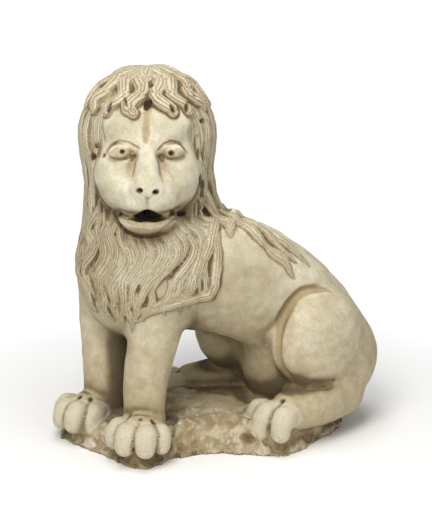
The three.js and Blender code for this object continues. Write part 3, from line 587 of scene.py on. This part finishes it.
def figure(world):
    """The whole statue: body, tail, hair, face and rock, with a flat underside."""
    p = to_figure(world)
    form = join(grooved_body(p), limb(p, TAIL), 5)
    form = join(form, hair(p, TUFT), 2.5)
    form = join(form, hair(p, MANE), 2.5)
    form = join(form, fine_face(to_head(p)), 4) * UNIT
    form = join(form, rock(world), 10)
    return np.maximum(form, -world[:, 2])


def bulk(world, rocky=True):
    """The figure without its hair, with or without the rock."""
    p = to_figure(world)
    form = join(grooved_body(p), fine_face(to_head(p)), 4) * UNIT
    return join(form, rock(world), 10) if rocky else form


# Fine carving on the face, in a plane square to a look from a little above it:
# across the face and up from the eyes, in millimetres.
def on_face(q):
    return q[:, 0], q[:, 2] - EYE_Z + FACE_TILT * (q[:, 1] + FACE_FRONT)


def around(q):
    """Angle round the hood in degrees, from the middle of the face."""
    return np.degrees(np.arctan2(q[:, 0], HOOD_AXIS - q[:, 1]))


def stroke(u, v, line):
    """Distance to a drawn line in that plane."""
    least = np.full(len(u), 1e9)
    for (ax, ay), (bx, by) in zip(line[:-1], line[1:]):
        wx, wy = bx - ax, by - ay
        t = np.clip(((u - ax) * wx + (v - ay) * wy) / (wx * wx + wy * wy), 0, 1)
        least = np.minimum(least, np.hypot(u - ax - t * wx, v - ay - t * wy))
    return least


def bowl(close):
    """1 inside a hole and 0 outside it, with a short slope; close is 1 on its rim."""
    return 1 / (1 + np.exp(np.clip(9 * (close - 1), -40, 40)))


# Lines cut in the face: points, half width, depth. A negative depth is a raised fold.
CUTS = [
    ([(-48, 50), (-27, 53)], 22, -4.5),
    ([(31, 53), (54, 48)], 22, -4.5),
    ([(2, 76), (0, 50), (-2, 18)], 8.5, 3.4),
    ([(-68, 18), (-50, 27), (-31, 27), (-16, 19), (-9, 13)], 9, -2.4),
    ([(12, 13), (27, 26), (41, 30), (55, 25), (71, 12)], 9, -2.4),
    ([(-64, 3), (-55, 14), (-43, 20), (-29, 18), (-13, 7)], 2.6, 3.0),
    ([(20, 5), (27, 14), (38, 19), (50, 17), (64, 1)], 2.6, 3.0),
    ([(-60, 3), (-50, 11), (-38, 14), (-26, 10), (-17, 2)], 2.2, -2.2),
    ([(22, 2), (29, 11), (41, 14), (52, 10), (62, -1)], 2.2, -2.2),
    ([(-60, 0), (-48, 8), (-36, 9), (-22, 1)], 1.5, 1.4),
    ([(24, 2), (31, 9), (43, 11), (54, 5), (60, -3)], 1.5, 1.4),
    ([(-63, -7), (-48, -12), (-34, -12), (-20, -5)], 1.8, 1.3),
    ([(22, -5), (34, -13), (48, -12), (62, -5)], 1.8, 1.3),
    ([(-22, -24), (-34, -60)], 15, -4.5),
    ([(22, -26), (36, -62)], 15, -4.5),
    ([(-21, -5), (-28, -20), (-31, -36)], 6, 2.0),
    ([(22, -7), (29, -24), (39, -40)], 6, 2.2),
    ([(-21, -6), (-24, -13)], 2.6, 2.6),
    ([(22, -7), (25, -14)], 2.6, 2.8),
    ([(-10, -70), (1, -78), (12, -72)], 2.4, 1.0),
    ([(1, -78), (0, -91)], 3.5, 1.5),
    ([(-44, -97), (-26, -103), (-13, -102), (0, -97), (12, -101), (31, -104), (40, -98)], 1.8, 1.8),
    ([(-32, -112), (-14, -118), (4, -119), (22, -113)], 2.4, 1.0),
    ([(-54, -96), (-47, -112), (-33, -127), (-14, -135), (3, -136), (20, -130), (34, -118),
      (42, -106)], 2.4, 2.6),
    ([(-84, -60), (-68, -92)], 16, 3.5),
    ([(84, -60), (68, -92)], 16, 3.0),
]
# Ribs on the flank and creases on the near foreleg, in the same plane.
FLANK = [
    ([(76, -226), (88, -268)], 6, 2.6),
    ([(98, -216), (112, -264)], 7, 3.0),
    ([(122, -212), (136, -252)], 7, 2.6),
    ([(142, -204), (156, -238)], 7, 1.8),
    ([(-38, -352), (-12, -358)], 4, 1.6),
    ([(-34, -372), (-16, -374)], 4, 1.2),
]
# Drilled holes: place, half axes, turn, depth, darkness of their painted shade.
DRILLED = [
    (-38, 1.5, 3.6, 3.7, 0, 6, 1), (38, -2, 3.8, 4.0, 0, 6, 1),
    (-12, -63.5, 4.6, 3.6, -15, 8, 1), (14.5, -66, 4.6, 3.6, 10, 8, 1),
    (-68, -2, 3.2, 2.8, 0, 4, 0.5), (-44, -98, 4, 3, 0, 5, 0.6), (40, -96, 4, 3, 20, 5, 0.6),
    (53, -98, 5.2, 4, 0, 7, 0.8), (-66, -94, 5, 3.2, -30, 5, 0.6), (1.8, 79, 4.4, 8, -22, 10, 0.75),
    (-59, 77, 2.6, 10, -8, 7, 0.7), (-33, 84, 2.0, 8, 10, 5, 0.6), (41, 72, 2.8, 7, 18, 7, 0.7),
    (64, 76, 2.6, 8, -14, 7, 0.7), (7.5, 112, 3, 2.6, 0, 5, 0.6), (89, 56, 3, 3.4, -40, 5, 0.6),
    (78, 99, 2.6, 2.6, 0, 5, 0.6), (83, 0, 3.2, 9, 0, 6, 0.5), (-86, -3, 3.8, 4.6, 0, 6, 0.7),
    (88, -46, 4.0, 10, 12, 6, 0.5), (86, -82, 3.4, 9, 14, 6, 0.5), (93, -94, 3, 6, 20, 6, 0.6),
    (-84, -66, 2.6, 8, 14, 5, 0.5), (-82, 14, 4.4, 2.2, -30, 4, 0.5),
]


# The mouth: its middle, half its length and its depth. A cut as wide as a furrow gets no painted shade.
MOUTH_U, MOUTH_V, MOUTH_HALF, MOUTH_DEPTH = 1, -106, 28, 9
FURROW_WIDTH = 9


def face_cuts(q):
    """How deep the face and the flank are cut, and how much painted shade darkens and browns them."""
    u, v = on_face(q)
    depth, dark, brown = np.zeros(len(q)), np.zeros(len(q)), np.zeros(len(q))
    front = 1 / (1 + np.exp((q[:, 1] + 22) / 6))
    for line, width, deep in CUTS:
        cut = deep * np.exp(-((stroke(u, v, line) / width) ** 2)) * front
        depth += cut
        # Narrow cuts are browned with painted shade.
        if width < FURROW_WIDTH:
            brown += 0.11 * np.maximum(cut, 0)
    for x, y, a, b, turn, deep, painted_hole_shade in DRILLED:
        c, s = math.cos(math.radians(turn)), math.sin(math.radians(turn))
        hole = bowl(np.hypot(((u - x) * c + (v - y) * s) / a, ((v - y) * c - (u - x) * s) / b))
        depth = np.maximum(depth, deep * hole * front)
        dark = np.maximum(dark, painted_hole_shade * hole)
    from_middle = np.abs(u - MOUTH_U) / MOUTH_HALF
    open_by = 1.2 + 6.0 * np.clip(1 - from_middle**2, 0, 1)
    lips = np.abs(v - MOUTH_V - 3.5 * np.exp(-((u / 10) ** 2))) / open_by
    mouth = bowl(lips + 4 * np.clip(from_middle - 1, 0, 1))
    # Painted shade round the eyes, under the chin and in the mouth.
    eyes = bowl(np.hypot((np.abs(u) - 40) / 20, v / 9.5))
    chin = bowl(np.hypot(u / 46, (v + 118) / 18))
    dark = np.maximum(dark, 0.9 * mouth)
    brown = np.maximum(brown, front * np.maximum(0.44 * eyes, 0.42 * chin))
    flank = step(hood(q), 10, 20) * step(20 - q[:, 1], 0, 20)
    for line, width, deep in FLANK:
        cut = deep * np.exp(-((stroke(u, v, line) / width) ** 2)) * flank
        # The ribs and creases are browned with painted shade.
        brown += 0.12 * cut
        depth += cut * (1 - front)
    return np.maximum(depth, MOUTH_DEPTH * mouth * front), dark * front, brown


# Clefts between the toes, with a pit behind each and a ring round each claw.
CLAW_Z, CLAW_RADIUS, CLEFT_WIDTH, PIT_RADIUS = 30, 9.5, 3.6, 5


def between_toes(p):
    """How much a point lies in a cleft, a pit or a ring, and how much on a toe."""
    x, y, z = p.T
    cleft, on_toe = np.zeros(len(p)), np.zeros(len(p))
    for foot in (NEAR_HIND_TOES, FAR_HIND_TOES, NEAR_FRONT_TOES, FAR_FRONT_TOES):
        distance = [toe(p, *made) for made in foot]
        on_toe = np.maximum(on_toe, step(5 - np.min(distance, 0), 0, 4))
        for tip_x, tip_y, dx, dy, *_ in foot:
            flat = (x - tip_x - 0.45 * dx) ** 2 + (y - tip_y - 0.45 * dy) ** 2
            far = np.sqrt(flat + (z - CLAW_Z) ** 2)
            cleft = np.maximum(cleft, 0.6 * np.exp(-(((far - CLAW_RADIUS) / 2) ** 2)))
        for a, b, one, two in zip(distance, distance[1:], foot, foot[1:]):
            between = np.exp(-(((a - b) / CLEFT_WIDTH) ** 2))
            cleft = np.maximum(cleft, step(9 - np.maximum(a, b), 0, 6) * between)
            pit_x, pit_y = (0.5 * (one[k] + two[k]) - 0.36 * (one[k + 2] + two[k + 2])
                            for k in (0, 1))
            pit = np.exp(-((np.hypot(x - pit_x, y - pit_y) / PIT_RADIUS) ** 4))
            pit = step(15 - np.maximum(a, b), 0, 5) * pit * step(110 - z, 0, 8)
            cleft = np.maximum(cleft, 1.5 * pit)
    return cleft, on_toe


# The surface comes from a grid: one point in each cell that it crosses.
LOW, HIGH, CELL, BLOCK = (-225, -300, -10), (215, 308, 680), 6.0, 6


def net(form):
    """Points and triangles on a form's surface; only blocks near it are worked out."""
    n = [math.ceil((h - l) / (CELL * BLOCK)) + 1 for l, h in zip(LOW, HIGH)]
    axes = [l + np.arange(k) * CELL * BLOCK for l, k in zip(LOW, n)]
    centre = np.stack(np.meshgrid(*axes, indexing="ij"), -1).reshape(-1, 3) + 0.5 * CELL * BLOCK
    value = form(centre)
    blocks = np.argwhere((np.abs(value) < 0.9 * CELL * BLOCK + 8).reshape(n))
    shape = [k * BLOCK + 1 for k in n]
    field = np.full(shape, 1e3)
    sign = np.where(value < 0, -1e3, 1e3).reshape(n)
    field[:-1, :-1, :-1] = sign.repeat(BLOCK, 0).repeat(BLOCK, 1).repeat(BLOCK, 2)
    offset = np.stack(np.meshgrid(*[np.arange(BLOCK + 1)] * 3, indexing="ij"), -1).reshape(-1, 3)
    index = (blocks[:, None] * BLOCK + offset).reshape(-1, 3)
    flat = np.unique(np.ravel_multi_index(index.T, shape))
    place = np.array(LOW) + np.stack(np.unravel_index(flat, shape), -1) * CELL
    field.ravel()[flat] = np.concatenate([form(part) for part in np.array_split(place, 8)])
    inside = field < 0
    corners = [(i, j, k) for i in (0, 1) for j in (0, 1) for k in (0, 1)]
    count = sum(inside[i:shape[0] - 1 + i, j:shape[1] - 1 + j, k:shape[2] - 1 + k].astype(int)
                for i, j, k in corners)
    cells = np.argwhere((count > 0) & (count < 8))
    number = np.full(count.shape, -1)
    number[tuple(cells.T)] = np.arange(len(cells))
    total, crossed = np.zeros((len(cells), 3)), np.zeros(len(cells))
    for a in corners:
        for axis in range(3):
            if a[axis]:
                continue
            b = np.array(a) + np.eye(3, dtype=int)[axis]
            fa, fb = field[tuple((cells + a).T)], field[tuple((cells + b).T)]
            hit = (fa < 0) != (fb < 0)
            t = np.where(hit, fa / np.where(hit, fa - fb, 1), 0)
            total += (np.array(a) + t[:, None] * (b - a)) * hit[:, None]
            crossed += hit
    points = np.array(LOW) + (cells + total / crossed[:, None]) * CELL
    faces = []
    for axis in range(3):
        u, w = (axis + 1) % 3, (axis + 2) % 3
        first, second = [slice(None)] * 3, [slice(None)] * 3
        first[axis], second[axis] = slice(0, -1), slice(1, None)
        edges = np.argwhere(inside[tuple(first)] != inside[tuple(second)])
        ring = []
        for du, dw in ((-1, -1), (0, -1), (0, 0), (-1, 0)):
            cell = edges.copy()
            cell[:, u] += du
            cell[:, w] += dw
            ring.append(number[tuple(cell.T)])
        ring = np.stack(ring, 1)
        faces.append(np.where(inside[tuple(edges.T)][:, None], ring, ring[:, ::-1]))
    quads = np.concatenate(faces)
    return points, np.concatenate([quads[:, [0, 1, 2]], quads[:, [0, 2, 3]]])


def normals(points, faces):
    a, b, c = (points[faces[:, k]] for k in range(3))
    n = np.cross(b - a, c - a)
    total = np.zeros_like(points)
    for k in range(3):
        for axis in range(3):
            total[:, axis] += np.bincount(faces[:, k], n[:, axis], len(points))
    return total / np.maximum(np.linalg.norm(total, axis=1, keepdims=True), 1e-9)


def largest_part(points, faces):
    """The largest connected surface only."""
    mark = np.arange(len(points))
    while True:
        least = mark[faces].min(1)
        new = mark.copy()
        for k in range(3):
            np.minimum.at(new, faces[:, k], least)
        new = new[new]
        if (new == mark).all():
            break
        mark = new
    best = np.bincount(mark).argmax()
    keep = mark == best
    renumber = np.cumsum(keep) - 1
    return points[keep], renumber[faces[keep[faces[:, 0]]]]


def mane_share(q):
    """1 where hair covers the hood, 0 on the face and the body."""
    u, v = on_face(q)
    turn = around(q)
    oval = np.hypot(u / (FACE_HALF_WIDTH + 2), (v - FACE_MIDDLE) / (FACE_HALF_HEIGHT + 2))
    face = step(1.05 - oval, -0.03, 0.07) * step(-q[:, 1], 10, 40)
    end = 212 + 75 * np.minimum(1, np.abs(turn + 20) / 110) ** 1.5
    behind = step(np.abs(turn), 70, 100)
    over = step(v - np.interp(u, MANE_ACROSS, MANE_END), -6, 8) * (1 - behind)
    over += step(q[:, 2] - end, -6, 8) * behind
    return (1 - face) * over * step(14 - hood(q), 0, 6)


# Longest edges of the mesh: where it is least looked at, in hair, in locks and in the face.
PLAIN_EDGE, HAIR_EDGE, LOCK_EDGE, FACE_EDGE = 9.5, 4.6, 4.0, 2.55


def wanted_edge(p):
    """How long an edge may be: short where the carving is fine and the piece is looked at."""
    q = to_head(to_figure(p))
    u, v = on_face(q)
    edge = PLAIN_EDGE - 3.7 * step(p[:, 0] - p[:, 1], -120, 20) * step(-p[:, 2], -150, -90)
    edge -= (edge - HAIR_EDGE) * step(-q[:, 1], -40, 10) * step(q[:, 2], 185, 205)
    edge -= (edge - LOCK_EDGE) * step(-q[:, 1], 5, 35) * step(q[:, 2], 210, 235)
    in_face = step(1.1 - np.hypot(u / 80, (v + 25) / 120), 0, 0.1) * step(-q[:, 1], 10, 30)
    return edge - (edge - FACE_EDGE) * in_face


def refine(points, faces, rounds=7):
    """Splits each edge that is longer than wanted, and the triangles beside it."""
    for _ in range(rounds):
        ends = np.sort(faces[:, [[0, 1], [1, 2], [2, 0]]].reshape(-1, 2), axis=1)
        key, back = np.unique(ends[:, 0] * len(points) + ends[:, 1], return_inverse=True)
        a, b = key // len(points), key % len(points)
        middle = 0.5 * (points[a] + points[b])
        long = np.linalg.norm(points[a] - points[b], axis=1)
        split = long > wanted_edge(middle)
        if not split.any():
            break
        number = np.where(split, np.cumsum(split) - 1 + len(points), -1)
        m = number[back].reshape(-1, 3)
        points = np.concatenate([points, middle[split]])
        made = [faces[(m < 0).all(1)]]
        for k in range(3):
            f, h = np.roll(faces, -k, 1), np.roll(m, -k, 1)
            one = (h[:, 0] >= 0) & (h[:, 1] < 0) & (h[:, 2] < 0)
            made.append(np.stack([f[one, 0], h[one, 0], f[one, 2]], 1))
            made.append(np.stack([h[one, 0], f[one, 1], f[one, 2]], 1))
            two = (h[:, 0] >= 0) & (h[:, 1] >= 0) & (h[:, 2] < 0)
            made.append(np.stack([h[two, 0], f[two, 1], h[two, 1]], 1))
            made.append(np.stack([f[two, 0], h[two, 0], h[two, 1]], 1))
            made.append(np.stack([f[two, 0], h[two, 1], f[two, 2]], 1))
        all_three = (m >= 0).all(1)
        f, h = faces[all_three], m[all_three]
        made += [np.stack([f[:, 0], h[:, 0], h[:, 2]], 1), np.stack([h[:, 0], f[:, 1], h[:, 1]], 1),
                 np.stack([h[:, 2], h[:, 1], f[:, 2]], 1), h]
        faces = np.concatenate(made)
    return points, faces


def pulled(points, faces, form, steps, limit=1.6):
    """Points drawn to the form's surface along the normals, step by step."""
    for _ in range(steps):
        value = form(points)
        points = points - normals(points, faces) * np.clip(value, -limit, limit)[:, None]
    return points


def noise(p, seed):
    """Soft waves of many directions, between about -1 and 1."""
    total = np.zeros(len(p))
    for k in range(6):
        a, b = 2 * math.pi * share(seed + k), math.acos(2 * share(seed + 7 * k + 3) - 1)
        w = np.array([math.sin(b) * math.cos(a), math.sin(b) * math.sin(a), math.cos(b)])
        total += np.sin((p @ w) * (0.8 + 0.5 * share(seed + 11 * k)) + 6 * share(seed + 5 * k))
    return total / 3


# Strands across a lock, the pitch of the comb, the height that is ground flat, and chips in
# the plane of the face: place and radius.
STRANDS_ACROSS, COMB_PITCH, FLAT_BELOW = 12, 13, 1.2
CHIPS = [(31, -108, 4.5), (259, -321, 3)]
TRIANGLE_LIMIT = 198000

# The surface is drawn to the figure before and after its long edges are split.
points, faces = largest_part(*net(figure))
points = pulled(points, faces, figure, 2)
points, faces = refine(points, faces)
points = pulled(points, faces, figure, 4)
if len(faces) > TRIANGLE_LIMIT:
    raise ValueError(str(len(faces)) + " triangles")
out = normals(points, faces)
own = to_figure(points)
q = to_head(own)
height = points[:, 2]

# Strands run along each lock, and between the locks they follow the comb.
least, owner, across = hair(own, MANE + TUFT, True)
on_lock = np.clip(1 - (least - 0.5) / 2, 0, 1)
covered = mane_share(q)
in_hair = np.maximum(on_lock, covered)
turn = around(q)
combed = 2 * turn + 5 * np.sin(q[:, 2] / 17 + 1.3 * np.sin(turn / 9))
strand = np.where(on_lock > 0.3, STRANDS_ACROSS * across, combed)

# Fine carving: combed hair, the cuts of the face, the toes, rough rock and worn stone.
stony = step(PLINTH_TOP + 14 - height, 0, 10) * step(4 - rock(points), 0, 3)
stony *= step(bulk(points, False), 1, 7)
rough = 1.5 * noise(points / 16, 3) + 0.9 * noise(points / 7, 9)
rough += 1.6 * np.maximum(0, noise(points / 4.5, 21) - 0.4)
rough += 0.6 * noise(points / 2.6, 70)
worn = 0.45 * noise(points / 9, 40) + 0.3 * noise(points / 4, 55)
cuts, dark, brown = face_cuts(q)
cleft, on_toe = between_toes(own)
carved = 1.5 * covered * (1 - on_lock) * np.sin(math.pi * strand / COMB_PITCH) ** 2
carved += cuts + 2.4 * cleft + 2.9 * rough * stony + worn * (1 - stony)
points = points - out * np.where(height < 0.5, 0, carved)[:, None]
points[:, 2] = np.where(points[:, 2] < FLAT_BELOW, 0, points[:, 2])
out = normals(points, faces)

# How deep a place lies: the form comes close to a point held off the surface. It sets painted shade, with
# some grime, in the hollows.
hollow = np.zeros(len(points))
for off, weight in ((5, 0.5), (12, 0.5)):
    hollow += weight * np.clip(1 - figure(points + out * off) / off, 0, 1)
hollow += 0.55 * np.clip(1 - (limb(own, GROOVE, 2) + 2) / 5, 0, 1)
# Each lock has painted shade along its edges and a tone of its own.
tone = np.array([share(k + 0.5) for k in range(len(MANE + TUFT))])[owner]
hollow += on_lock * (0.55 * step(np.abs(across), 0.55, 1.0) + 0.22 * (tone - 0.5))
hollow = np.clip(hollow + brown, 0, 1)

# Painted shade, partly dirt too: darker deep between the limbs, on undersides and low on the thigh.
shade_and_dirt = np.zeros(len(points))
for off, weight in ((26, 0.5), (60, 0.85)):
    shade_and_dirt += weight * np.clip(1 - bulk(points + out * off) / off, 0, 1)
# Painted shade: places that face down are darker.
shade_and_dirt += 0.45 * np.clip(-out[:, 2] - 0.1, 0, 1) * (1 - in_hair)
off_thigh = step(ellipsoid(own, (103, 137, 175), THIGH, -4), 0, 12) * (1 - in_hair)
off_thigh *= step(120 - own[:, 1], 0, 80)
shade_and_dirt += 0.45 * np.exp(-(((height - 285) / 75) ** 2)) * off_thigh

# Painted shade in holes and clefts, and pale worn toes and chips.
painted_hole_shade = np.clip(np.maximum(dark, 0.62 * cleft), 0, 1)
u, v = on_face(q)
chipped = np.zeros(len(points))
for chip_u, chip_v, radius in CHIPS:
    chipped += np.exp(-((np.hypot(u - chip_u, v - chip_v) / radius) ** 2))
pale_spots = np.maximum(on_toe, 1.7 * chipped * step(-q[:, 1], -40, 10))

# The solid's origin is the middle of its underside.
middle = 0.5 * (points.min(0) + points.max(0))
placed = (points - [middle[0], middle[1], 0]) / 1000

mesh = bpy.data.meshes.new("lion_stone")
mesh.from_pydata(placed.tolist(), [], faces.tolist())
mesh.shade_smooth()
for name, values in (("hollow", hollow), ("painted_hole_shade", painted_hole_shade), ("shade_and_dirt", shade_and_dirt), ("hair", in_hair),
                     ("strand", strand), ("rock", stony), ("pale", pale_spots)):
    mesh.attributes.new(name, "FLOAT", "POINT").data.foreach_set("value", values)
statue = bpy.data.objects.new("lion_stone", mesh)
bpy.context.scene.collection.objects.link(statue)
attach(statue, "root")
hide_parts("lion")

# Nodes of a material, added to the tree in hand.
def node(kind, **values):
    made = tree.nodes.new(kind)
    for key, value in values.items():
        if hasattr(made, key):
            setattr(made, key, value)
        else:
            made.inputs[key].default_value = value
    return made


def link(a, b):
    tree.links.new(a, b)


def attribute(name):
    return node("ShaderNodeAttribute", attribute_name=name).outputs["Fac"]


def calculate(operation, a, b=0):
    made = node("ShaderNodeMath", operation=operation)
    for socket, value in zip(made.inputs, (a, b)):
        if isinstance(value, (int, float)):
            socket.default_value = value
        else:
            link(value, socket)
    return made.outputs[0]


def plus(a, b):
    return calculate("ADD", a, b)


def times(a, b):
    return calculate("MULTIPLY", a, b)


def graded(value, start, slope):
    """A straight line: start where value is 0, and slope more where it is 1."""
    return plus(times(value, slope), start)


def centred(value, factor):
    return times(calculate("SUBTRACT", value, 0.5), factor)


def cloud(scale, detail=4.0, roughness=0.6):
    made = node("ShaderNodeTexNoise", Scale=scale, Detail=detail, Roughness=roughness)
    link(where, made.inputs["Vector"])
    return made.outputs["Fac"]


def band(value, low, high):
    limits = {"From Min": low, "From Max": high}
    made = node("ShaderNodeMapRange", interpolation_type="SMOOTHSTEP", **limits)
    link(value, made.inputs["Value"])
    return made.outputs["Result"]


def tinted(base, colour, amount):
    """The base, itself a colour or a socket, with a colour laid on it."""
    made = node("ShaderNodeMix", data_type="RGBA")
    link(amount, made.inputs[0])
    if isinstance(base, tuple):
        made.inputs[6].default_value = (*base, 1)
    else:
        link(base, made.inputs[6])
    made.inputs[7].default_value = (*colour, 1)
    return made.outputs[2]


# Colours of the stone, as shares of red, green and blue.
CREAM, PALE_CREAM = (0.57, 0.525, 0.375), (0.70, 0.66, 0.515)
CHIP, WORN = (0.74, 0.70, 0.58), (0.68, 0.63, 0.49)
OLIVE, OCHRE = (0.40, 0.36, 0.24), (0.50, 0.40, 0.24)
LOW_BROWN, EARTH = (0.39, 0.285, 0.135), (0.31, 0.21, 0.105)
SHADE, DEEP_SHADE = (0.31, 0.24, 0.125), (0.12, 0.092, 0.05)
GRIME_AND_SHADE, DEEP_SHADE_AND_GRIME = (0.37, 0.275, 0.14), (0.13, 0.09, 0.05)
PIT, FURROW, NEAR_BLACK = (0.27, 0.205, 0.115), (0.25, 0.18, 0.095), (0.05, 0.038, 0.028)

# Weathered cream stone: brown painted shade, with some grime, in the hollows; olive and ochre stains;
# pale worn places.
material = bpy.data.materials.new("weathered_stone")
material.use_nodes = True
tree = material.node_tree
shader = tree.nodes["Principled BSDF"]
shader.inputs["IOR"].default_value = 1.45
where = node("ShaderNodeTexCoord").outputs["Object"]
rocky, haired = attribute("rock"), attribute("hair")
broad, patchy, spots, fine = cloud(6), cloud(22), cloud(48, 6), cloud(150, 6)

# Cream in patches, with olive stains and warmer hair.
colour = tinted(CREAM, PALE_CREAM, band(patchy, 0.38, 0.62))
colour = tinted(colour, OLIVE, times(band(broad, 0.46, 0.68), 0.45))
colour = tinted(colour, OCHRE, times(haired, 0.3))

# Brown low down, partly stain and partly painted shade, and earth and pale chips, most on the rock.
split = node("ShaderNodeSeparateXYZ")
link(where, split.inputs[0])
lowly = band(plus(times(split.outputs["Z"], -2.3), centred(spots, 0.8)), -1.0, 0.0)
colour = tinted(colour, LOW_BROWN, times(lowly, graded(rocky, 0.66, -0.36)))
colour = tinted(colour, EARTH, times(band(spots, 0.44, 0.60), graded(rocky, 0.15, 0.65)))
colour = tinted(colour, CHIP, times(band(cloud(62, 5), 0.56, 0.64), graded(rocky, 0.15, 0.6)))

# Painted shade, partly dirt, deep between the limbs and on undersides, and worn toes.
shade_and_dirt_amount = plus(attribute("shade_and_dirt"), centred(patchy, 0.7))
colour = tinted(colour, SHADE, times(band(shade_and_dirt_amount, 0.12, 0.75), 0.8))
colour = tinted(colour, DEEP_SHADE, times(band(shade_and_dirt_amount, 0.44, 0.94), 0.9))
colour = tinted(colour, WORN, times(attribute("pale"), 0.6))

# Painted shade, with some grime, in the hollows; pits; painted shade in the furrows between the strands
# of hair and in the drilled holes.
furrows = calculate("SINE", plus(times(attribute("strand"), 1.1), centred(spots, 5.0)))
lined = times(band(furrows, 0.1, 1.0), haired)
shade_and_stain = plus(times(attribute("hollow"), graded(haired, 1, 0.35)), centred(fine, 0.7))
# Painted shade, with some grime, where a place lies deep.
colour = tinted(colour, GRIME_AND_SHADE, times(band(shade_and_stain, 0.22, 0.68), 0.8))
colour = tinted(colour, PIT, times(band(cloud(330, 4), 0.52, 0.66), graded(haired, 0.3, 0.3)))
# Painted shade in the furrows between the strands.
colour = tinted(colour, FURROW, times(lined, band(broad, 0.2, 0.7)))
# Dark painted shade, with some grime, in the deepest hollows.
colour = tinted(colour, DEEP_SHADE_AND_GRIME, times(band(shade_and_stain, 0.66, 1.05), 0.85))
# Near-black painted shade in drilled holes, in the mouth and in the clefts between the toes.
colour = tinted(colour, NEAR_BLACK, band(attribute("painted_hole_shade"), 0.1, 0.95))
link(colour, shader.inputs["Base Color"])

# Dull in patches, with grain, pits and furrows in relief.
dull = node("ShaderNodeMapRange", **{"To Min": 0.72, "To Max": 0.94})
link(patchy, dull.inputs["Value"])
link(dull.outputs["Result"], shader.inputs["Roughness"])
grain = plus(times(cloud(420, 5, 0.7), 0.4), times(spots, graded(rocky, 0.9, 4.5)))
grain = plus(grain, times(fine, graded(rocky, 0.5, 2.0)))
bump = node("ShaderNodeBump", Strength=0.6, Distance=0.002)
link(calculate("SUBTRACT", grain, times(lined, 1.1)), bump.inputs["Height"])
link(bump.outputs["Normal"], shader.inputs["Normal"])
mesh.materials.append(material)

# A pale floor that turns into the white ground away from the statue.
FLOOR_HALF, FADE_FROM, FADE_TO = 3, 0.32, 0.78
WHITE = 1.05
corners = [(FLOOR_HALF * x, FLOOR_HALF * y, 0) for x, y in ((-1, -1), (1, -1), (1, 1), (-1, 1))]
plane = bpy.data.meshes.new("floor")
plane.from_pydata(corners, [], [(0, 1, 2, 3)])
floor = bpy.data.objects.new("floor", plane)
bpy.context.scene.collection.objects.link(floor)
pale = bpy.data.materials.new("pale_floor")
pale.use_nodes = True
tree = pale.node_tree
matt = tree.nodes["Principled BSDF"]
matt.inputs["Base Color"].default_value = (0.92, 0.92, 0.92, 1)
matt.inputs["Roughness"].default_value = 0.9
spread = node("ShaderNodeVectorMath", operation="LENGTH")
link(node("ShaderNodeTexCoord").outputs["Object"], spread.inputs[0])
blend = node("ShaderNodeMixShader")
link(band(spread.outputs["Value"], FADE_FROM, FADE_TO), blend.inputs[0])
link(matt.outputs[0], blend.inputs[1])
link(node("ShaderNodeEmission", Strength=WHITE).outputs[0], blend.inputs[2])
link(blend.outputs[0], tree.nodes["Material Output"].inputs["Surface"])
plane.materials.append(pale)

# Lamps and camera stand round a point in the middle of the view, in metres.
aim = Vector((0.0555, -0.0346, 0.324))


def toward(azimuth, elevation):
    a, e = math.radians(azimuth), math.radians(elevation)
    return Vector((math.sin(a) * math.cos(e), -math.cos(a) * math.cos(e), math.sin(e)))


def lamp(name, azimuth, elevation, distance, watts, width, tint=(1, 1, 1)):
    data = bpy.data.lights.new(name, "AREA")
    data.energy, data.size, data.color = watts, width, tint
    made = bpy.data.objects.new(name, data)
    made.location = aim + distance * toward(azimuth, elevation)
    made.rotation_euler = toward(azimuth, elevation).to_track_quat("Z", "Y").to_euler()
    bpy.context.scene.collection.objects.link(made)


lamp("key", 42, 46, 2.4, 41, 1.1, (1, 0.98, 0.93))
lamp("fill", 84, 18, 3.0, 10, 2.0, (1, 0.99, 0.97))
lamp("top", 60, 86, 2.4, 30, 1.5)

# A white room: soft light all round, and a white ground in the camera.
world = bpy.data.worlds.new("white_room")
world.use_nodes = True
tree = world.node_tree
room = tree.nodes["Background"]
room.inputs["Strength"].default_value = 0.3
white = node("ShaderNodeBackground", Strength=WHITE)
seen = node("ShaderNodeMixShader")
link(node("ShaderNodeLightPath").outputs["Is Camera Ray"], seen.inputs[0])
link(room.outputs[0], seen.inputs[1])
link(white.outputs[0], seen.inputs[2])
link(seen.outputs[0], tree.nodes["World Output"].inputs["Surface"])
room.inputs["Color"].default_value = (1, 1, 1, 1)
white.inputs["Color"].default_value = (1, 1, 1, 1)
bpy.context.scene.world = world
bpy.context.scene.view_settings.view_transform = "Standard"

# The camera of the photograph: a long lens that looks a little down.
AZIMUTH, ELEVATION, DISTANCE, FOCAL_LENGTH, SENSOR_WIDTH = 60, 15, 2.393, 104.75, 36
lens = bpy.data.cameras.new("camera")
lens.lens, lens.sensor_width = FOCAL_LENGTH, SENSOR_WIDTH
camera = bpy.data.objects.new("camera", lens)
camera.location = aim + DISTANCE * toward(AZIMUTH, ELEVATION)
camera.rotation_euler = toward(AZIMUTH, ELEVATION).to_track_quat("Z", "Y").to_euler()
bpy.context.scene.collection.objects.link(camera)
bpy.context.scene.camera = camera
